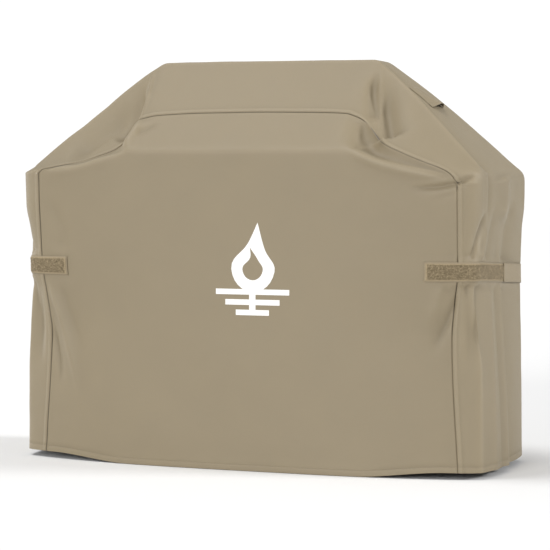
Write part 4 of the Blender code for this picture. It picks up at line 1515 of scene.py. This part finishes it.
# A little lighter than the cover cloth: partly the strap's own colour, partly a painted highlight
# for the side light on the straps
STRAP_COLOUR = (0.275, 0.222, 0.143)
LINING_COLOUR = (0.215, 0.185, 0.140)
HOOK_COLOURS = (0.14, 0.11, 0.07), (0.22, 0.18, 0.12)
WIRE_COLOURS = (0.045, 0.039, 0.032), (0.075, 0.065, 0.052)
THREAD_COLOURS = (0.26, 0.21, 0.14), (0.37, 0.30, 0.205)
PRINT_COLOURS = (0.84, 0.83, 0.80), (0.90, 0.89, 0.87)


def make_looks():
    """Every material of the cover, by what it is for."""
    return {
        "cloth": cloth_material("cover_cloth", CLOTH_COLOUR, 0.58, 0.06, gloss=0.5),
        "strap": cloth_material("strap_cloth", STRAP_COLOUR, 0.62, 0.06, 0.0013, 0.00014),
        "lining": cloth_material("coated_inside", LINING_COLOUR, 0.42, 0.0, 0.0011, 0.00003, 0.5),
        "tape": tape_material(),
        "loop": loop_material(),
        "hook": plain_material("hook_tape", *HOOK_COLOURS, 0.45, 900, 0.0002),
        "mesh": plain_material("screen_wire", *WIRE_COLOURS, 0.5, 1500, 0.0001),
        "thread": plain_material("thread", *THREAD_COLOURS, 0.55, 2500, 0.0001, 0.3),
        "print": plain_material("printed_mark", *PRINT_COLOURS, 0.50, 400, 0.00005),
    }


# ---------------------------------------------------------------- camera, floor and light


def make_camera():
    """The camera that the photograph was solved for."""
    data = bpy.data.cameras.new("camera")
    data.lens = CAMERA_LENS
    data.sensor_width = 36
    data.clip_end = 60
    camera = bpy.data.objects.new("camera", data)
    angle = CAMERA_SIDE_ANGLE
    x, y = CAMERA_DISTANCE * math.sin(angle), -CAMERA_DISTANCE * math.cos(angle)
    camera.location = (x, y, CAMERA_HEIGHT)
    camera.rotation_euler = (math.pi / 2 - CAMERA_PITCH, 0, angle)
    bpy.context.scene.collection.objects.link(camera)
    bpy.context.scene.camera = camera


def make_floor():
    """A wide pale floor, just under the hem."""
    size, grey = 60.0, (0.81, 0.81, 0.81, 1)
    material, tree, shader = new_material("floor")
    feed(tree, shader, {"Base Color": grey, "Roughness": 0.9, "Specular IOR Level": 0.1})
    corners = [(-size, -size, 0), (size, -size, 0), (size, size, 0), (-size, size, 0)]
    floor = new_object("floor", np.array(corners), [(0, 1, 2, 3)], [material])
    floor.location.z = -0.001


def make_sun(name, side_angle, rise, width, strength):
    """A broad soft light from afar. Angles in degrees, strength as a white paper facing it shows."""
    data = bpy.data.lights.new(name, "SUN")
    data.angle = math.radians(width)
    data.energy = strength * math.pi
    light = bpy.data.objects.new(name, data)
    side, up = math.radians(side_angle), math.radians(rise)
    way = Vector((math.sin(side) * math.cos(up), -math.cos(side) * math.cos(up), math.sin(up)))
    light.rotation_euler = (-way).to_track_quat("-Z", "Y").to_euler()
    bpy.context.scene.collection.objects.link(light)


def make_world():
    """Soft light from all round, and a plain white background where the camera sees it."""
    world = bpy.data.worlds.new("studio")
    bpy.context.scene.world = world
    world.use_nodes = True
    tree = world.node_tree
    tree.nodes.clear()
    soft = add(tree, "ShaderNodeBackground", {"Color": (1, 1, 1, 1), "Strength": 0.42})
    white = add(tree, "ShaderNodeBackground", {"Color": (1, 1, 1, 1), "Strength": 1.05})
    seen = add(tree, "ShaderNodeLightPath", {}).outputs["Is Camera Ray"]
    both = add(tree, "ShaderNodeMixShader", {0: seen, 1: soft.outputs[0], 2: white.outputs[0]})
    add(tree, "ShaderNodeOutputWorld", {"Surface": both.outputs[0]})


def make_stage():
    """The floor, the world and four suns."""
    make_floor()
    make_world()
    make_sun("overhead", -64, 70, 22, 0.46)
    make_sun("front", -6, 16, 24, 0.52)
    make_sun("right", 103, 26, 14, 0.59)
    make_sun("left", -100, 8, 14, 0.22)
    settings = bpy.context.scene.view_settings
    settings.view_transform = "Standard"
    settings.look = "None"


# ---------------------------------------------------------------- everything


def main():
    """Build the scene."""
    make_camera()
    make_stage()
    looks = make_looks()
    cloth = finished_cloth()
    make_cloth(cloth, looks)
    make_hem(cloth, looks)
    make_seam_tapes(cloth, looks)
    make_stitches("seam_stitches", sewn_lines(cloth), looks["thread"], "cover")
    for side, word in SIDES:
        make_strap(side, word, looks)
        make_vent_hood(side, word, looks)
        make_vent_mesh(side, word, looks)
    make_emblem(looks)
    bpy.context.view_layer.update()


main()
